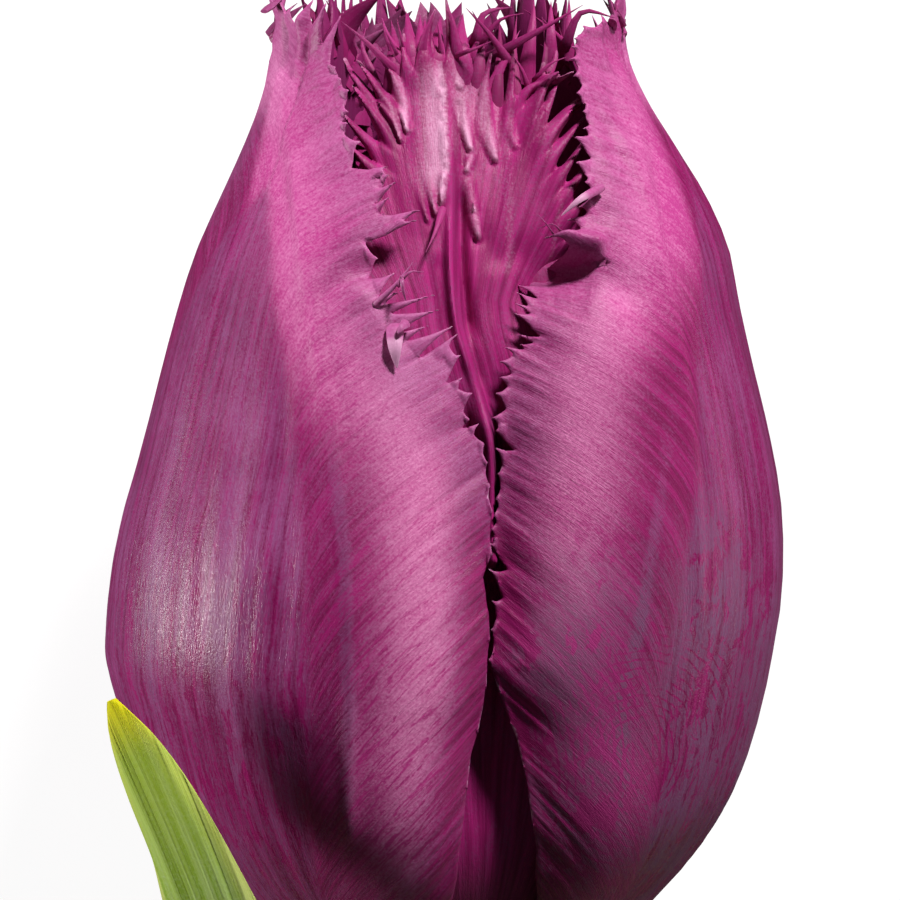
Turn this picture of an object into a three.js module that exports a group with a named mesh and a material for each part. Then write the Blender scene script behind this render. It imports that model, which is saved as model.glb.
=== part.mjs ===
// A cut fringed tulip lying on a flat surface: one closed bloom, its stem and three leaves.
// Millimetres, +Z up. The flower lies along Y with the bloom towards +Y. The surface it lies on is Z = 0.
// Azimuths round the bloom are in degrees: 0 faces up (+Z), and they grow towards +X.
import * as THREE from "three";

// ---- driving dimensions -------------------------------------------------------------------
const BLOOM_BASE = [0, 0, 22.93]; // where the tepals join the stem
const FOOTPRINT_CENTRE = [-5.76, -88.17]; // the model's origin goes to the middle of its footprint
const BLOOM_TILT = 5; // the mouth is raised by this angle above the horizontal, degrees
const SEAM = 10.5; // azimuth of the seam between the two upper outer tepals, degrees
const TEPAL_THICKNESS = 0.9;
const MARGIN_THICKNESS = 0.5;
const INNER_DEPTH = 1.95; // the outer face of the inner tepals lies this far inside the outer faces
const SEAM_SHIFT = 0.85; // neighbouring margins keep clear by this much each, degrees
const TOOTH_LENGTH = 1.5; // of the fringe at the mouth
const STEM_RADIUS_TOP = 3.2;
const STEM_RADIUS_END = 3.65;
const RECEPTACLE_RADIUS = 2.7;
const OVARY_LENGTH = 19;
const OVARY_RADIUS = 3.1;
const STIGMA_RADIUS = 4.6;
const FILAMENT_RADIUS = 0.95;
const FILAMENT_LENGTH = 9.5;
const ANTHER_LENGTH = 12.5;
const ANTHER_RADIUS = 1.35;
const STAMEN_RING = 6.2; // radius of the ring that the filaments stand on
const LEAF_THICKNESS = 0.9;

// Meridian of the closed bloom: radius, then height along its axis.
const MERIDIAN = [
  [3.6, 0], [8, 1.2], [12.3, 3.6], [15.83, 7.4], [19.15, 11.1], [21.58, 14.8], [23.19, 18.5],
  [24.28, 22.2], [25.13, 25.9], [25.38, 29.6], [25.21, 33.3], [24.68, 37], [23.85, 40.7],
  [22.93, 44.4], [21.92, 48.1], [20.83, 51.9], [19.75, 55.6], [18.12, 59.3], [16.23, 63],
  [14.44, 66.7], [13.16, 70.4], [13.5, 74], [13.9, 76],
];
// Sideways sway of the bloom's axis by height.
const SWAY = [
  [0, 0], [14.8, -0.4], [22.2, -0.59], [25.9, -0.72], [29.6, -0.39], [33.3, -0.07], [37, 0.25],
  [40.7, 0.49], [44.4, 0.58], [48.1, 0.61], [51.9, 0.68], [55.6, 0.92], [59.3, 1.02],
  [63, 0.86], [66.7, 0.49], [70.4, 0.11], [76, 0],
];
// How deep the three seams are drawn in, as a share of the radius, by height.
const SEAM_DEPTH = [[0, 0], [6, 0], [14, 0.08], [24, 0.17], [55, 0.2], [66, 0.17], [76, 0.12]];

// Tepal outlines, from the base up to the tip on each side: azimuth, then height.
const OUTER = [
  {
    name: "outer_tepal_left", centre: -49.5, tip: [-66, 73.8], depth: 0,
    high: [[-5, 0.9], [1, 5], [4.8, 10.5], [8.6, 18], [10.2, 25.8], [9.7, 32.1], [8.2, 37.6], [5.6, 43], [2, 45.8], [-2.5, 48.6], [-9, 52.7], [-13, 56.1], [-18, 59.6], [-25, 63], [-31.5, 66.5], [-40, 70], [-50, 72.8]],
    low: [[-94, 0.9], [-101, 5], [-105, 12], [-107.6, 20], [-108.4, 30], [-108, 40], [-106, 48], [-103, 55], [-98.5, 61], [-93, 66], [-86, 70.4], [-77, 73]],
  },
  {
    name: "outer_tepal_right", centre: 70.5, tip: [70, 73.2], depth: 0,
    high: [[115, 0.9], [122, 5], [126, 12], [128.4, 20], [129.3, 30], [129, 38], [127, 46], [123, 54], [116, 61], [107, 66.5], [96, 70.8], [83, 72.9]],
    low: [[26, 0.9], [27, 5], [25.5, 10.2], [20.6, 14.6], [15, 21], [12, 26.5], [10.9, 32.1], [10.9, 38], [11.5, 43.7], [13.4, 49.2], [17.5, 53.4], [25, 56.8], [32, 60], [36, 63.4], [40, 66.8], [46, 70.1], [57, 72.4]],
  },
  {
    name: "outer_tepal_under", centre: 190.5, tip: [189, 72.2], depth: 0,
    high: [[235, 0.9], [242, 5], [246, 12], [248.6, 20], [249.4, 30], [249, 40], [247, 48], [242, 55.5], [234, 61.5], [224, 66.5], [212, 70.2], [200, 71.9]],
    low: [[146, 0.9], [139, 5], [135, 12], [132.6, 20], [131.8, 30], [132.2, 40], [135, 48], [141, 55.5], [149, 61.5], [159, 66.2], [169, 69.7], [179, 71.6]],
  },
];
const INNER = [
  {
    name: "inner_tepal_front", centre: 10.5, tip: [6, 70], depth: INNER_DEPTH,
    high: [[44, 1.5], [53, 6], [60, 14], [65, 24], [67, 34], [66.5, 44], [63, 52], [57, 58], [50, 62.6], [42.5, 66], [34, 68.4], [20, 69.8]],
    low: [[-24, 1.5], [-32, 6], [-39, 14], [-44, 24], [-46, 34], [-45.5, 44], [-43.5, 52], [-39, 59], [-34, 63.6], [-28, 67], [-20, 69.2], [-8, 70]],
  },
  {
    name: "inner_tepal_lower_right", centre: 130.5, tip: [131, 72], depth: INNER_DEPTH,
    high: [[164, 1.5], [173, 6], [180, 14], [185, 24], [187, 34], [186, 44], [181, 53], [173, 60.5], [163, 66.5], [153, 70], [143, 71.7]],
    low: [[97, 1.5], [88, 6], [81, 14], [76, 24], [74, 34], [75, 44], [80, 53], [88, 60.5], [98, 66.5], [109, 70], [119, 71.7]],
  },
  {
    name: "inner_tepal_lower_left", centre: -109.5, tip: [-112, 71.6], depth: INNER_DEPTH,
    high: [[-76, 1.5], [-67, 6], [-60, 14], [-55, 24], [-53, 34], [-54, 44], [-59, 53], [-67, 60.5], [-77, 66.3], [-88, 69.8], [-100, 71.4]],
    low: [[-143, 1.5], [-152, 6], [-159, 14], [-164, 24], [-166, 34], [-165, 44], [-160, 53], [-153, 60.5], [-144, 66.3], [-134, 69.8], [-123, 71.3]],
  },
];

// Centreline of the stem, from under the bloom to the cut end.
const STEM_LINE = [
  [0, -8, 22.15], [-0.2, -25, 20.6], [-1.4, -60, 17.4], [-3, -105, 13.3], [-2.4, -150, 9.6],
  [0.6, -200, 6.1], [4.8, -250, 3.56],
];
// Leaves: midrib line from the sheath to the tip, outward normal at each point, half-width and curl radius.
const LEAVES = [
  {
    name: "leaf_upper",
    line: [[-2.9, -106, 17.55], [-3.4, -92, 19.8], [-4.2, -72, 25.2], [-5.6, -50, 31.8], [-8, -28, 38.2], [-11.6, -8, 43.2], [-16.4, 9, 46.3], [-22.7, 23.4, 47.6]],
    normal: [[0, 0, 1], [-0.05, 0, 1], [-0.12, 0, 1], [-0.2, 0, 1], [-0.3, 0, 1], [-0.42, 0, 1], [-0.6, 0, 0.95], [-0.6, 0, 0.9]],
    width: [[0, 12.5], [0.08, 14], [0.2, 17.5], [0.36, 23], [0.5, 24.5], [0.64, 21.5], [0.77, 15.5], [0.88, 9.4], [0.94, 6.4], [0.975, 3.9], [0.995, 1.5], [1, 0.7]],
    curl: [[0, 4.4], [0.1, 5.4], [0.25, 8.5], [0.5, 12], [0.75, 9], [1, 5]],
    wave: 0.5,
  },
  {
    name: "leaf_middle",
    line: [[2.1, -152, 9.5], [4.2, -138, 11.6], [9.5, -116, 14.2], [18.5, -90, 14.4], [29, -64, 11.5], [39, -40, 7], [46.5, -20, 1.6], [51, -4, -1.2]],
    normal: [[1, 0, 0], [1, 0, -0.08], [1, 0, -0.25], [0.95, 0, -0.5], [0.8, 0, -0.75], [0.55, 0, -0.9], [0.3, 0, -1], [0.15, 0, -1]],
    width: [[0, 13], [0.08, 15], [0.2, 21], [0.36, 29.5], [0.5, 32], [0.64, 29], [0.78, 21], [0.89, 12], [0.95, 7], [0.98, 3.8], [0.996, 1.4], [1, 0.7]],
    curl: [[0, 4.45], [0.1, 6], [0.25, 11], [0.5, 18], [0.75, 22], [1, 14]],
    wave: 1.1,
  },
  {
    name: "leaf_lower",
    line: [[-3.35, -208, 5.7], [-6.2, -192, 7.6], [-13.5, -166, 10.2], [-25, -136, 11], [-38, -104, 9], [-49, -74, 5.6], [-56.5, -48, 1.6], [-60.5, -27, -1.5]],
    normal: [[-1, 0, 0], [-1, 0, -0.08], [-0.95, 0, -0.35], [-0.8, 0, -0.66], [-0.6, 0, -0.85], [-0.42, 0, -0.95], [-0.25, 0, -1], [-0.1, 0, -1]],
    width: [[0, 13.5], [0.07, 16], [0.18, 25], [0.34, 38], [0.48, 43], [0.62, 39.5], [0.76, 29], [0.88, 16.5], [0.945, 9.5], [0.98, 4.6], [0.996, 1.6], [1, 0.7]],
    curl: [[0, 4.55], [0.1, 6.5], [0.25, 13], [0.5, 24], [0.75, 28], [1, 18]],
    wave: 1.6,
  },
];

// ---- how finely the faces are cut ---------------------------------------------------------
const TEPAL_COLUMNS = 30;
const TEPAL_ROWS = 12;
const LEAF_COLUMNS = 6;
const LEAF_ROWS = 24;

const RAD = Math.PI / 180;
const clamp = (x, a, b) => Math.min(b, Math.max(a, x));
const ramp = (a, b, x) => {
  const t = clamp((x - a) / (b - a), 0, 1);
  return t * t * (3 - 2 * t);
};

// A smooth curve through table values: x, then y, with x growing.
function through(table, x) {
  const n = table.length;
  if (x <= table[0][0]) return table[0][1];
  if (x >= table[n - 1][0]) return table[n - 1][1];
  let i = 0;
  while (table[i + 1][0] < x) i++;
  const slope = (k) =>
    (table[k + 1][1] - table[k][1]) / (table[k + 1][0] - table[k][0]);
  const tangent = (k) => {
    if (k === 0) return slope(0);
    if (k === n - 1) return slope(n - 2);
    const a = slope(k - 1),
      b = slope(k);
    return a * b <= 0 ? 0 : (2 * a * b) / (a + b);
  };
  const w = table[i + 1][0] - table[i][0],
    t = (x - table[i][0]) / w;
  return (
    (2 * t ** 3 - 3 * t ** 2 + 1) * table[i][1] +
    (t ** 3 - 2 * t ** 2 + t) * w * tangent(i) +
    (-2 * t ** 3 + 3 * t ** 2) * table[i + 1][1] +
    (t ** 3 - t ** 2) * w * tangent(i + 1)
  );
}

// ---- the bloom's body ---------------------------------------------------------------------
const tilt = BLOOM_TILT * RAD;
const base = new THREE.Vector3(...BLOOM_BASE);
const across = new THREE.Vector3(1, 0, 0);
const along = new THREE.Vector3(0, Math.cos(tilt), Math.sin(tilt));
const upward = new THREE.Vector3(0, -Math.sin(tilt), Math.cos(tilt));

// The meridian as a smooth line, measured by the length run from the base.
const meridian = new THREE.SplineCurve(
  MERIDIAN.map(([r, h]) => new THREE.Vector2(r, h)),
);
meridian.arcLengthDivisions = 600;
const MERIDIAN_LENGTH = meridian.getLength();
const MERIDIAN_STEPS = 400;
const meridianTable = Array.from({ length: MERIDIAN_STEPS + 1 }, (_, i) => {
  const u = i / MERIDIAN_STEPS,
    p = meridian.getPointAt(u),
    t = meridian.getTangentAt(u);
  return { r: p.x, h: p.y, nr: t.y, nh: -t.x };
});
function meridianAt(run) {
  const s = clamp(run / MERIDIAN_LENGTH, 0, 1) * MERIDIAN_STEPS,
    i = Math.min(Math.floor(s), MERIDIAN_STEPS - 1),
    f = s - i,
    a = meridianTable[i],
    b = meridianTable[i + 1],
    over = (run - clamp(run, 0, MERIDIAN_LENGTH));
  return {
    r: a.r + (b.r - a.r) * f,
    h: a.h + (b.h - a.h) * f + over,
    nr: a.nr + (b.nr - a.nr) * f,
    nh: a.nh + (b.nh - a.nh) * f,
  };
}
function runAtHeight(h) {
  for (let i = 1; i <= MERIDIAN_STEPS; i++)
    if (meridianTable[i].h >= h) {
      const a = meridianTable[i - 1],
        b = meridianTable[i];
      return ((i - 1 + (h - a.h) / (b.h - a.h)) / MERIDIAN_STEPS) * MERIDIAN_LENGTH;
    }
  return MERIDIAN_LENGTH;
}

// A point at an azimuth, a run along the meridian and a depth inside the outer face.
function inBloom(azimuth, run, depth) {
  const m = meridianAt(run),
    h = m.h - depth * m.nh,
    seam = ((1 + Math.cos(3 * (azimuth - SEAM) * RAD)) / 2) ** 2.2,
    r = (m.r - depth * m.nr) * (1 - through(SEAM_DEPTH, m.h) * seam);
  return base
    .clone()
    .addScaledVector(along, h)
    .addScaledVector(across, through(SWAY, h) + r * Math.sin(azimuth * RAD))
    .addScaledVector(upward, r * Math.cos(azimuth * RAD));
}
// A point by radius, azimuth and height, for what stands inside the bloom.
const aroundAxis = (radius, azimuth, h) =>
  base
    .clone()
    .addScaledVector(along, h)
    .addScaledVector(across, radius * Math.sin(azimuth * RAD))
    .addScaledVector(upward, radius * Math.cos(azimuth * RAD));

// ---- closed bodies from grids of points -----------------------------------------------------
function closed(points, faces) {
  const g = new THREE.BufferGeometry().setFromPoints(points);
  let volume = 0;
  for (const [a, b, c] of faces)
    volume += points[a].dot(new THREE.Vector3().crossVectors(points[b], points[c]));
  g.setIndex(volume < 0 ? faces.flatMap(([a, b, c]) => [a, c, b]) : faces.flat());
  g.computeVertexNormals();
  return g;
}
// A sheet with an outer and an inner face: grid[row][column] of each.
function sheet(outer, inner) {
  const rows = outer.length,
    columns = outer[0].length,
    points = [...outer.flat(), ...inner.flat()],
    faces = [],
    o = (r, c) => r * columns + c,
    i = (r, c) => rows * columns + r * columns + c,
    quad = (a, b, c, d) => faces.push([a, b, c], [a, c, d]);
  for (let r = 0; r + 1 < rows; r++)
    for (let c = 0; c + 1 < columns; c++) {
      quad(o(r, c), o(r, c + 1), o(r + 1, c + 1), o(r + 1, c));
      quad(i(r, c), i(r + 1, c), i(r + 1, c + 1), i(r, c + 1));
    }
  for (let c = 0; c + 1 < columns; c++) {
    quad(o(0, c), i(0, c), i(0, c + 1), o(0, c + 1));
    quad(o(rows - 1, c), o(rows - 1, c + 1), i(rows - 1, c + 1), i(rows - 1, c));
  }
  for (let r = 0; r + 1 < rows; r++) {
    quad(o(r, 0), o(r + 1, 0), i(r + 1, 0), i(r, 0));
    quad(o(r, columns - 1), i(r, columns - 1), i(r + 1, columns - 1), o(r + 1, columns - 1));
  }
  return closed(points, faces);
}
// A body from rings of points, closed at both ends.
function loft(rings) {
  const n = rings[0].length,
    points = rings.flat(),
    faces = [];
  for (let r = 0; r + 1 < rings.length; r++)
    for (let k = 0; k < n; k++) {
      const a = r * n + k,
        b = r * n + ((k + 1) % n);
      faces.push([a, b, b + n], [a, b + n, a + n]);
    }
  for (const [r, turn] of [[0, true], [rings.length - 1, false]]) {
    const middle = new THREE.Vector3();
    rings[r].forEach((p) => middle.addScaledVector(p, 1 / n));
    const c = points.push(middle) - 1;
    for (let k = 0; k < n; k++) {
      const a = r * n + k,
        b = r * n + ((k + 1) % n);
      faces.push(turn ? [c, b, a] : [c, a, b]);
    }
  }
  return closed(points, faces);
}

const flower = new THREE.Group();
flower.position.set(-FOOTPRINT_CENTRE[0], -FOOTPRINT_CENTRE[1], 0);
function add(name, geometry, color, roughness) {
  const mesh = new THREE.Mesh(
    geometry,
    new THREE.MeshStandardMaterial({ color, roughness, metalness: 0 }),
  );
  mesh.name = name;
  flower.add(mesh);
}

// ---- tepals -----------------------------------------------------------------------------------
// Each tepal is a fan of veins. A vein leaves the base, runs up and bends out to the margin.
// m goes round the margin, -1 and 1 at the base and 0 at the tip, and v runs along a vein, 0 to 1.
function marginOf(t) {
  const side = (list, shift) => {
    const pts = [...list.map(([a, h]) => [a + shift * ramp(60, 40, h), h]), t.tip].map(
      ([a, h]) => new THREE.Vector2(a, runAtHeight(h)),
    );
    const line = new THREE.SplineCurve(pts);
    // the run round the margin is measured in millimetres, with the azimuth as an arc
    const steps = 400,
      run = [0];
    for (let i = 1; i <= steps; i++) {
      const a = line.getPoint((i - 1) / steps),
        b = line.getPoint(i / steps),
        r = meridianAt((a.y + b.y) / 2).r;
      run.push(run[i - 1] + Math.hypot((b.x - a.x) * RAD * r, b.y - a.y));
    }
    return (share) => {
      const target = share * run[steps];
      let i = 1;
      while (i < steps && run[i] < target) i++;
      const f = (target - run[i - 1]) / (run[i] - run[i - 1]);
      return line.getPoint((i - 1 + f) / steps);
    };
  };
  const high = side(t.high, -SEAM_SHIFT),
    low = side(t.low, SEAM_SHIFT);
  return (m) => (m >= 0 ? high(1 - m) : low(1 + m));
}
const VEIN_SPREAD = 0.3; // how soon a vein turns out to the side
const VEIN_RISE = 0.7; // how soon it rises
const BASE_HALF_ANGLE = 34;

function tepal(t) {
  const margin = marginOf(t),
    start = t.depth > 0 ? 1.9 : 0.5,
    outer = [],
    inner = [];
  const place = (m, v) => {
    const edge = margin(m),
      a = 2 * v * (1 - v) * VEIN_SPREAD + v * v,
      b = 2 * v * (1 - v) * VEIN_RISE + v * v;
    return [
      t.centre + (1 - a) * BASE_HALF_ANGLE * m + a * (edge.x - t.centre),
      start + b * (edge.y - start),
    ];
  };
  for (let row = 0; row < TEPAL_ROWS; row++) {
    const o = [],
      i = [];
    for (let column = 0; column <= TEPAL_COLUMNS; column++) {
      const m = (2 * column) / TEPAL_COLUMNS - 1;
      const w = row / (TEPAL_ROWS - 1);
      let v = 0.35 * w + 0.65 * w * w;
      // the fringe: every second vein ends in a tooth, long at the mouth and short down the seams
      const reach = margin(m).y * (1 - VEIN_RISE) * 2,
        mouth = ramp(47, 58, meridianAt(margin(m).y).h),
        fringe = ramp(0.9, 0.6, Math.abs(m));
      if (row === TEPAL_ROWS - 1)
        v += (column % 2 ? 0.6 * mouth : -0.4 * fringe) * (TOOTH_LENGTH / reach);
      const [azimuth, run] = place(m, v);
      // the inner tepals lean further in at the mouth, and the midrib stands out as a low keel
      const lean = t.depth > 0 ? 0.9 * ramp(48, 66, run - 10) : 0;
      const keel = 0.35 * Math.exp(-((m / 0.16) ** 2)) * ramp(0.1, 0.5, v) * ramp(1.0, 0.7, v);
      const depth = t.depth + lean - (t.depth > 0 ? 0 : keel);
      const thick =
        MARGIN_THICKNESS + (TEPAL_THICKNESS - MARGIN_THICKNESS) * ramp(1, 0.75, v);
      o.push(inBloom(azimuth, run, depth));
      i.push(inBloom(azimuth, run, depth + thick));
    }
    outer.push(o);
    inner.push(i);
  }
  return sheet(outer, inner);
}
for (const t of OUTER) add(t.name, tepal(t), 0xa2508a, 0.45);
for (const t of INNER) add(t.name, tepal(t), 0xb0417f, 0.5);

// ---- stamens and pistil ---------------------------------------------------------------------
// A straight or bent body of round section: points with a radius, and the section's shape.
function limb(points, radii, sides, section = () => 1) {
  const line = new THREE.CatmullRomCurve3(points.map((p) => (p.isVector3 ? p : new THREE.Vector3(...p))));
  const steps = radii.length - 1;
  const rings = [];
  const reference = new THREE.Vector3(1, 0, 0);
  for (let s = 0; s <= steps; s++) {
    const [share, radius] = radii[s],
      c = line.getPointAt(share),
      d = line.getTangentAt(share),
      e1 = reference.clone().addScaledVector(d, -reference.dot(d)).normalize(),
      e2 = new THREE.Vector3().crossVectors(d, e1);
    rings.push(
      Array.from({ length: sides }, (_, k) => {
        const a = (k / sides) * 2 * Math.PI,
          r = radius * section(a, share);
        return c.clone().addScaledVector(e1, r * Math.cos(a)).addScaledVector(e2, r * Math.sin(a));
      }),
    );
  }
  return loft(rings);
}
for (let k = 0; k < 6; k++) {
  const azimuth = SEAM + 60 * k + 4,
    foot = 4.6,
    top = foot + FILAMENT_LENGTH;
  add(
    "filament_" + (k + 1),
    limb(
      [aroundAxis(STAMEN_RING - 0.6, azimuth, foot), aroundAxis(STAMEN_RING + 0.2, azimuth, (foot + top) / 2), aroundAxis(STAMEN_RING + 0.3, azimuth, top)],
      [[0, FILAMENT_RADIUS * 0.9], [0.25, FILAMENT_RADIUS], [0.6, FILAMENT_RADIUS * 0.8], [0.9, FILAMENT_RADIUS * 0.45], [1, FILAMENT_RADIUS * 0.25]],
      6,
    ),
    0xd8c98a,
    0.5,
  );
  add(
    "anther_" + (k + 1),
    limb(
      [aroundAxis(STAMEN_RING + 0.3, azimuth, top + 0.3), aroundAxis(STAMEN_RING + 0.5, azimuth, top + ANTHER_LENGTH / 2), aroundAxis(STAMEN_RING + 0.1, azimuth, top + 0.3 + ANTHER_LENGTH)],
      [[0, 0.5], [0.06, 0.95], [0.2, ANTHER_RADIUS], [0.6, ANTHER_RADIUS], [0.88, ANTHER_RADIUS * 0.8], [0.97, ANTHER_RADIUS * 0.5], [1, 0.25]],
      8,
      (a) => 1 - 0.2 * Math.cos(4 * a),
    ),
    0x2b1526,
    0.85,
  );
}
// Ovary with three rounded sides, and the three-lobed stigma on top of it.
const stigmaStart = 2.9 + OVARY_LENGTH;
add(
  "pistil",
  limb(
    [aroundAxis(0, 0, 2.9), aroundAxis(0, 0, 2.9 + OVARY_LENGTH / 2), aroundAxis(0, 0, stigmaStart + 3.2)],
    [[0, 2.2], [0.07, 2.75], [0.3, OVARY_RADIUS], [0.6, OVARY_RADIUS * 0.97], [0.78, OVARY_RADIUS * 0.84], [0.855, 2.3], [0.9, 3.0], [0.94, STIGMA_RADIUS * 0.82], [0.98, STIGMA_RADIUS * 0.8], [1, STIGMA_RADIUS * 0.6]],
    18,
    (a, share) => 1 + (0.06 + 0.3 * ramp(0.86, 0.93, share)) * Math.cos(3 * a),
  ),
  0x9fae62,
  0.55,
);

// ---- stem -------------------------------------------------------------------------------------
// The receptacle narrows into the bloom, between the feet of the tepals.
const stemPoints = [
  aroundAxis(0, 0, 2.5), aroundAxis(0, 0, 1.2), aroundAxis(0, 0, -0.6), aroundAxis(0, 0, -2.5),
  ...STEM_LINE.map((p) => new THREE.Vector3(...p)),
];
const stemLine = new THREE.CatmullRomCurve3(stemPoints, false, "centripetal");
const stemLength = stemLine.getLength();
const stemRadii = [
  [0, 2.1], [0.6, RECEPTACLE_RADIUS], [2.4, RECEPTACLE_RADIUS + 0.2], [4, STEM_RADIUS_TOP],
  [8, STEM_RADIUS_TOP], [18, STEM_RADIUS_TOP],
];
for (let s = 34; s < stemLength - 8; s += 17) stemRadii.push([s, STEM_RADIUS_TOP + (STEM_RADIUS_END - STEM_RADIUS_TOP) * ramp(0, stemLength, s)]);
stemRadii.push([stemLength, STEM_RADIUS_END]);
add("flower_stem", limb(stemPoints, stemRadii.map(([s, r]) => [s / stemLength, r]), 14), 0x7d9a54, 0.5);

// ---- leaves -----------------------------------------------------------------------------------
function leaf(l) {
  const line = new THREE.CatmullRomCurve3(l.line.map((p) => new THREE.Vector3(...p)), false, "centripetal");
  const last = l.line.length - 1;
  const face = (axis, share) =>
    through(l.normal.map((n, i) => [i / last, n[axis]]), share);
  const outer = [],
    inner = [];
  for (let row = 0; row <= LEAF_ROWS; row++) {
    const share = 1 - (1 - row / LEAF_ROWS) ** 1.25,
      p = line.getPointAt(share),
      t = line.getTangentAt(share),
      n = new THREE.Vector3(face(0, share), face(1, share), face(2, share));
    n.addScaledVector(t, -n.dot(t)).normalize();
    const s = new THREE.Vector3().crossVectors(t, n),
      half = through(l.width, share) / 2,
      curl = through(l.curl, share),
      thick = LEAF_THICKNESS * (0.65 + 0.35 * ramp(1, 0.85, share));
    const o = [],
      i = [];
    for (let c = 0; c <= LEAF_COLUMNS; c++) {
      const u = (2 * c) / LEAF_COLUMNS - 1,
        angle = (u * half) / curl,
        wave = l.wave * u * u * ramp(0.12, 0.4, share) * ramp(1, 0.85, share) * Math.sin(share * 19 + (u > 0 ? 1.7 : 0)),
        normal = n.clone().multiplyScalar(Math.cos(angle)).addScaledVector(s, Math.sin(angle)),
        mid = p.clone().addScaledVector(n, curl * (Math.cos(angle) - 1)).addScaledVector(s, curl * Math.sin(angle)).addScaledVector(normal, wave);
      // where the blade comes down on the surface it lies flat on it
      const lowest = thick / 2,
        drop = mid.z - lowest;
      mid.z = lowest + 0.5 * (drop + Math.hypot(drop, 0.4));
      const edge = thick * (0.5 - 0.22 * Math.abs(u) ** 3);
      o.push(mid.clone().addScaledVector(normal, edge));
      i.push(mid.clone().addScaledVector(normal, -edge));
    }
    outer.push(o);
    inner.push(i);
  }
  return sheet(outer, inner);
}
for (const l of LEAVES) add(l.name, leaf(l), 0x86a05a, 0.5);

const group = new THREE.Group();
group.name = "fringed_tulip";
group.add(flower);
export default group;
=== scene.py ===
import math

import bpy
import numpy as np
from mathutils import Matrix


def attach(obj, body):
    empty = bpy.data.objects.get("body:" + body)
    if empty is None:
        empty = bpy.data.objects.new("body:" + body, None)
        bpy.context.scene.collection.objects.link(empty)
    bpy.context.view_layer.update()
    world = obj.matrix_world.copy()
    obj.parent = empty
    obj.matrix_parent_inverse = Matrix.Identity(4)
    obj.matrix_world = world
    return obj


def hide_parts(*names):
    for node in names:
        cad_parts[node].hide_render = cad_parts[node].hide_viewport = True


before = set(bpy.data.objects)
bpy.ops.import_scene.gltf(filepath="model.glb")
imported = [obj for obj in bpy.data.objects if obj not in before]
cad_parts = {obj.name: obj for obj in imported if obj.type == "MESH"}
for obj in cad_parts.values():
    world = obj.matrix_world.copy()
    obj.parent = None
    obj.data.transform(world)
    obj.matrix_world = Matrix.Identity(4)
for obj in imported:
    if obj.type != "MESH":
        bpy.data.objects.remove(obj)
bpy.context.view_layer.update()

# A cut fringed tulip. All shapes are worked out in millimetres round the bloom's base, then moved to the frame in metres.
SHIFT = np.array([5.76, 88.17, 0.0])
RAD = math.pi / 180


# ---- small helpers ------------------------------------------------------------------------
def ramp(a, b, x):
    t = np.clip((np.asarray(x, float) - a) / (b - a), 0, 1)
    return t * t * (3 - 2 * t)


def through(table, x):
    """A smooth monotone curve through (x, y) values."""
    t = np.asarray(table, float)
    xs, ys = t[:, 0], t[:, 1]
    sl = np.diff(ys) / np.diff(xs)
    m = np.empty(len(xs))
    m[0], m[-1] = sl[0], sl[-1]
    a, b = sl[:-1], sl[1:]
    same = a * b > 0
    m[1:-1] = np.where(same, 2 * a * b / np.where(same, a + b, 1), 0)
    x = np.clip(np.asarray(x, float), xs[0], xs[-1])
    i = np.clip(np.searchsorted(xs, x, side="right") - 1, 0, len(xs) - 2)
    w = xs[i + 1] - xs[i]
    u = (x - xs[i]) / w
    return (
        (2 * u**3 - 3 * u**2 + 1) * ys[i]
        + (u**3 - 2 * u**2 + u) * w * m[i]
        + (-2 * u**3 + 3 * u**2) * ys[i + 1]
        + (u**3 - u**2) * w * m[i + 1]
    )


def catmull(points, per=40):
    """A dense line through points, uniform Catmull-Rom with the ends repeated."""
    p = np.asarray(points, float)
    q = np.vstack([p[:1], p, p[-1:]])
    u = np.linspace(0, 1, per, endpoint=False)[:, None]
    out = []
    for i in range(len(p) - 1):
        p0, p1, p2, p3 = q[i], q[i + 1], q[i + 2], q[i + 3]
        v0, v1 = (p2 - p0) / 2, (p3 - p1) / 2
        out.append((2 * p1 - 2 * p2 + v0 + v1) * u**3 + (-3 * p1 + 3 * p2 - 2 * v0 - v1) * u**2 + v0 * u + p1)
    out.append(p[-1:])
    return np.vstack(out)


def centripetal(points, per=60):
    """A dense line through 3-D points, centripetal Catmull-Rom, with its running length."""
    p = np.asarray(points, float)
    q = np.vstack([2 * p[0] - p[1], p, 2 * p[-1] - p[-2]])
    u = np.linspace(0, 1, per, endpoint=False)[:, None]
    out = []
    for i in range(len(p) - 1):
        p0, p1, p2, p3 = q[i : i + 4]
        d0, d1, d2 = (max(np.linalg.norm(b - a), 1e-9) ** 0.5 for a, b in ((p0, p1), (p1, p2), (p2, p3)))
        t1 = ((p1 - p0) / d0 - (p2 - p0) / (d0 + d1) + (p2 - p1) / d1) * d1
        t2 = ((p2 - p1) / d1 - (p3 - p1) / (d1 + d2) + (p3 - p2) / d2) * d1
        out.append((2 * p1 - 2 * p2 + t1 + t2) * u**3 + (-3 * p1 + 3 * p2 - 2 * t1 - t2) * u**2 + t1 * u + p1)
    out.append(p[-1:])
    pts = np.vstack(out)
    run = np.concatenate([[0], np.cumsum(np.linalg.norm(np.diff(pts, axis=0), axis=1))])
    return pts, run


def along_line(pts, run, s):
    """Points and unit tangents at lengths s of a dense line."""
    s = np.asarray(s, float)
    p = np.stack([np.interp(s, run, pts[:, k]) for k in range(3)], -1)
    e = run[-1] * 1e-3
    a = np.stack([np.interp(np.clip(s - e, 0, run[-1]), run, pts[:, k]) for k in range(3)], -1)
    b = np.stack([np.interp(np.clip(s + e, 0, run[-1]), run, pts[:, k]) for k in range(3)], -1)
    t = b - a
    return p, t / np.linalg.norm(t, axis=-1, keepdims=True)


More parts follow.
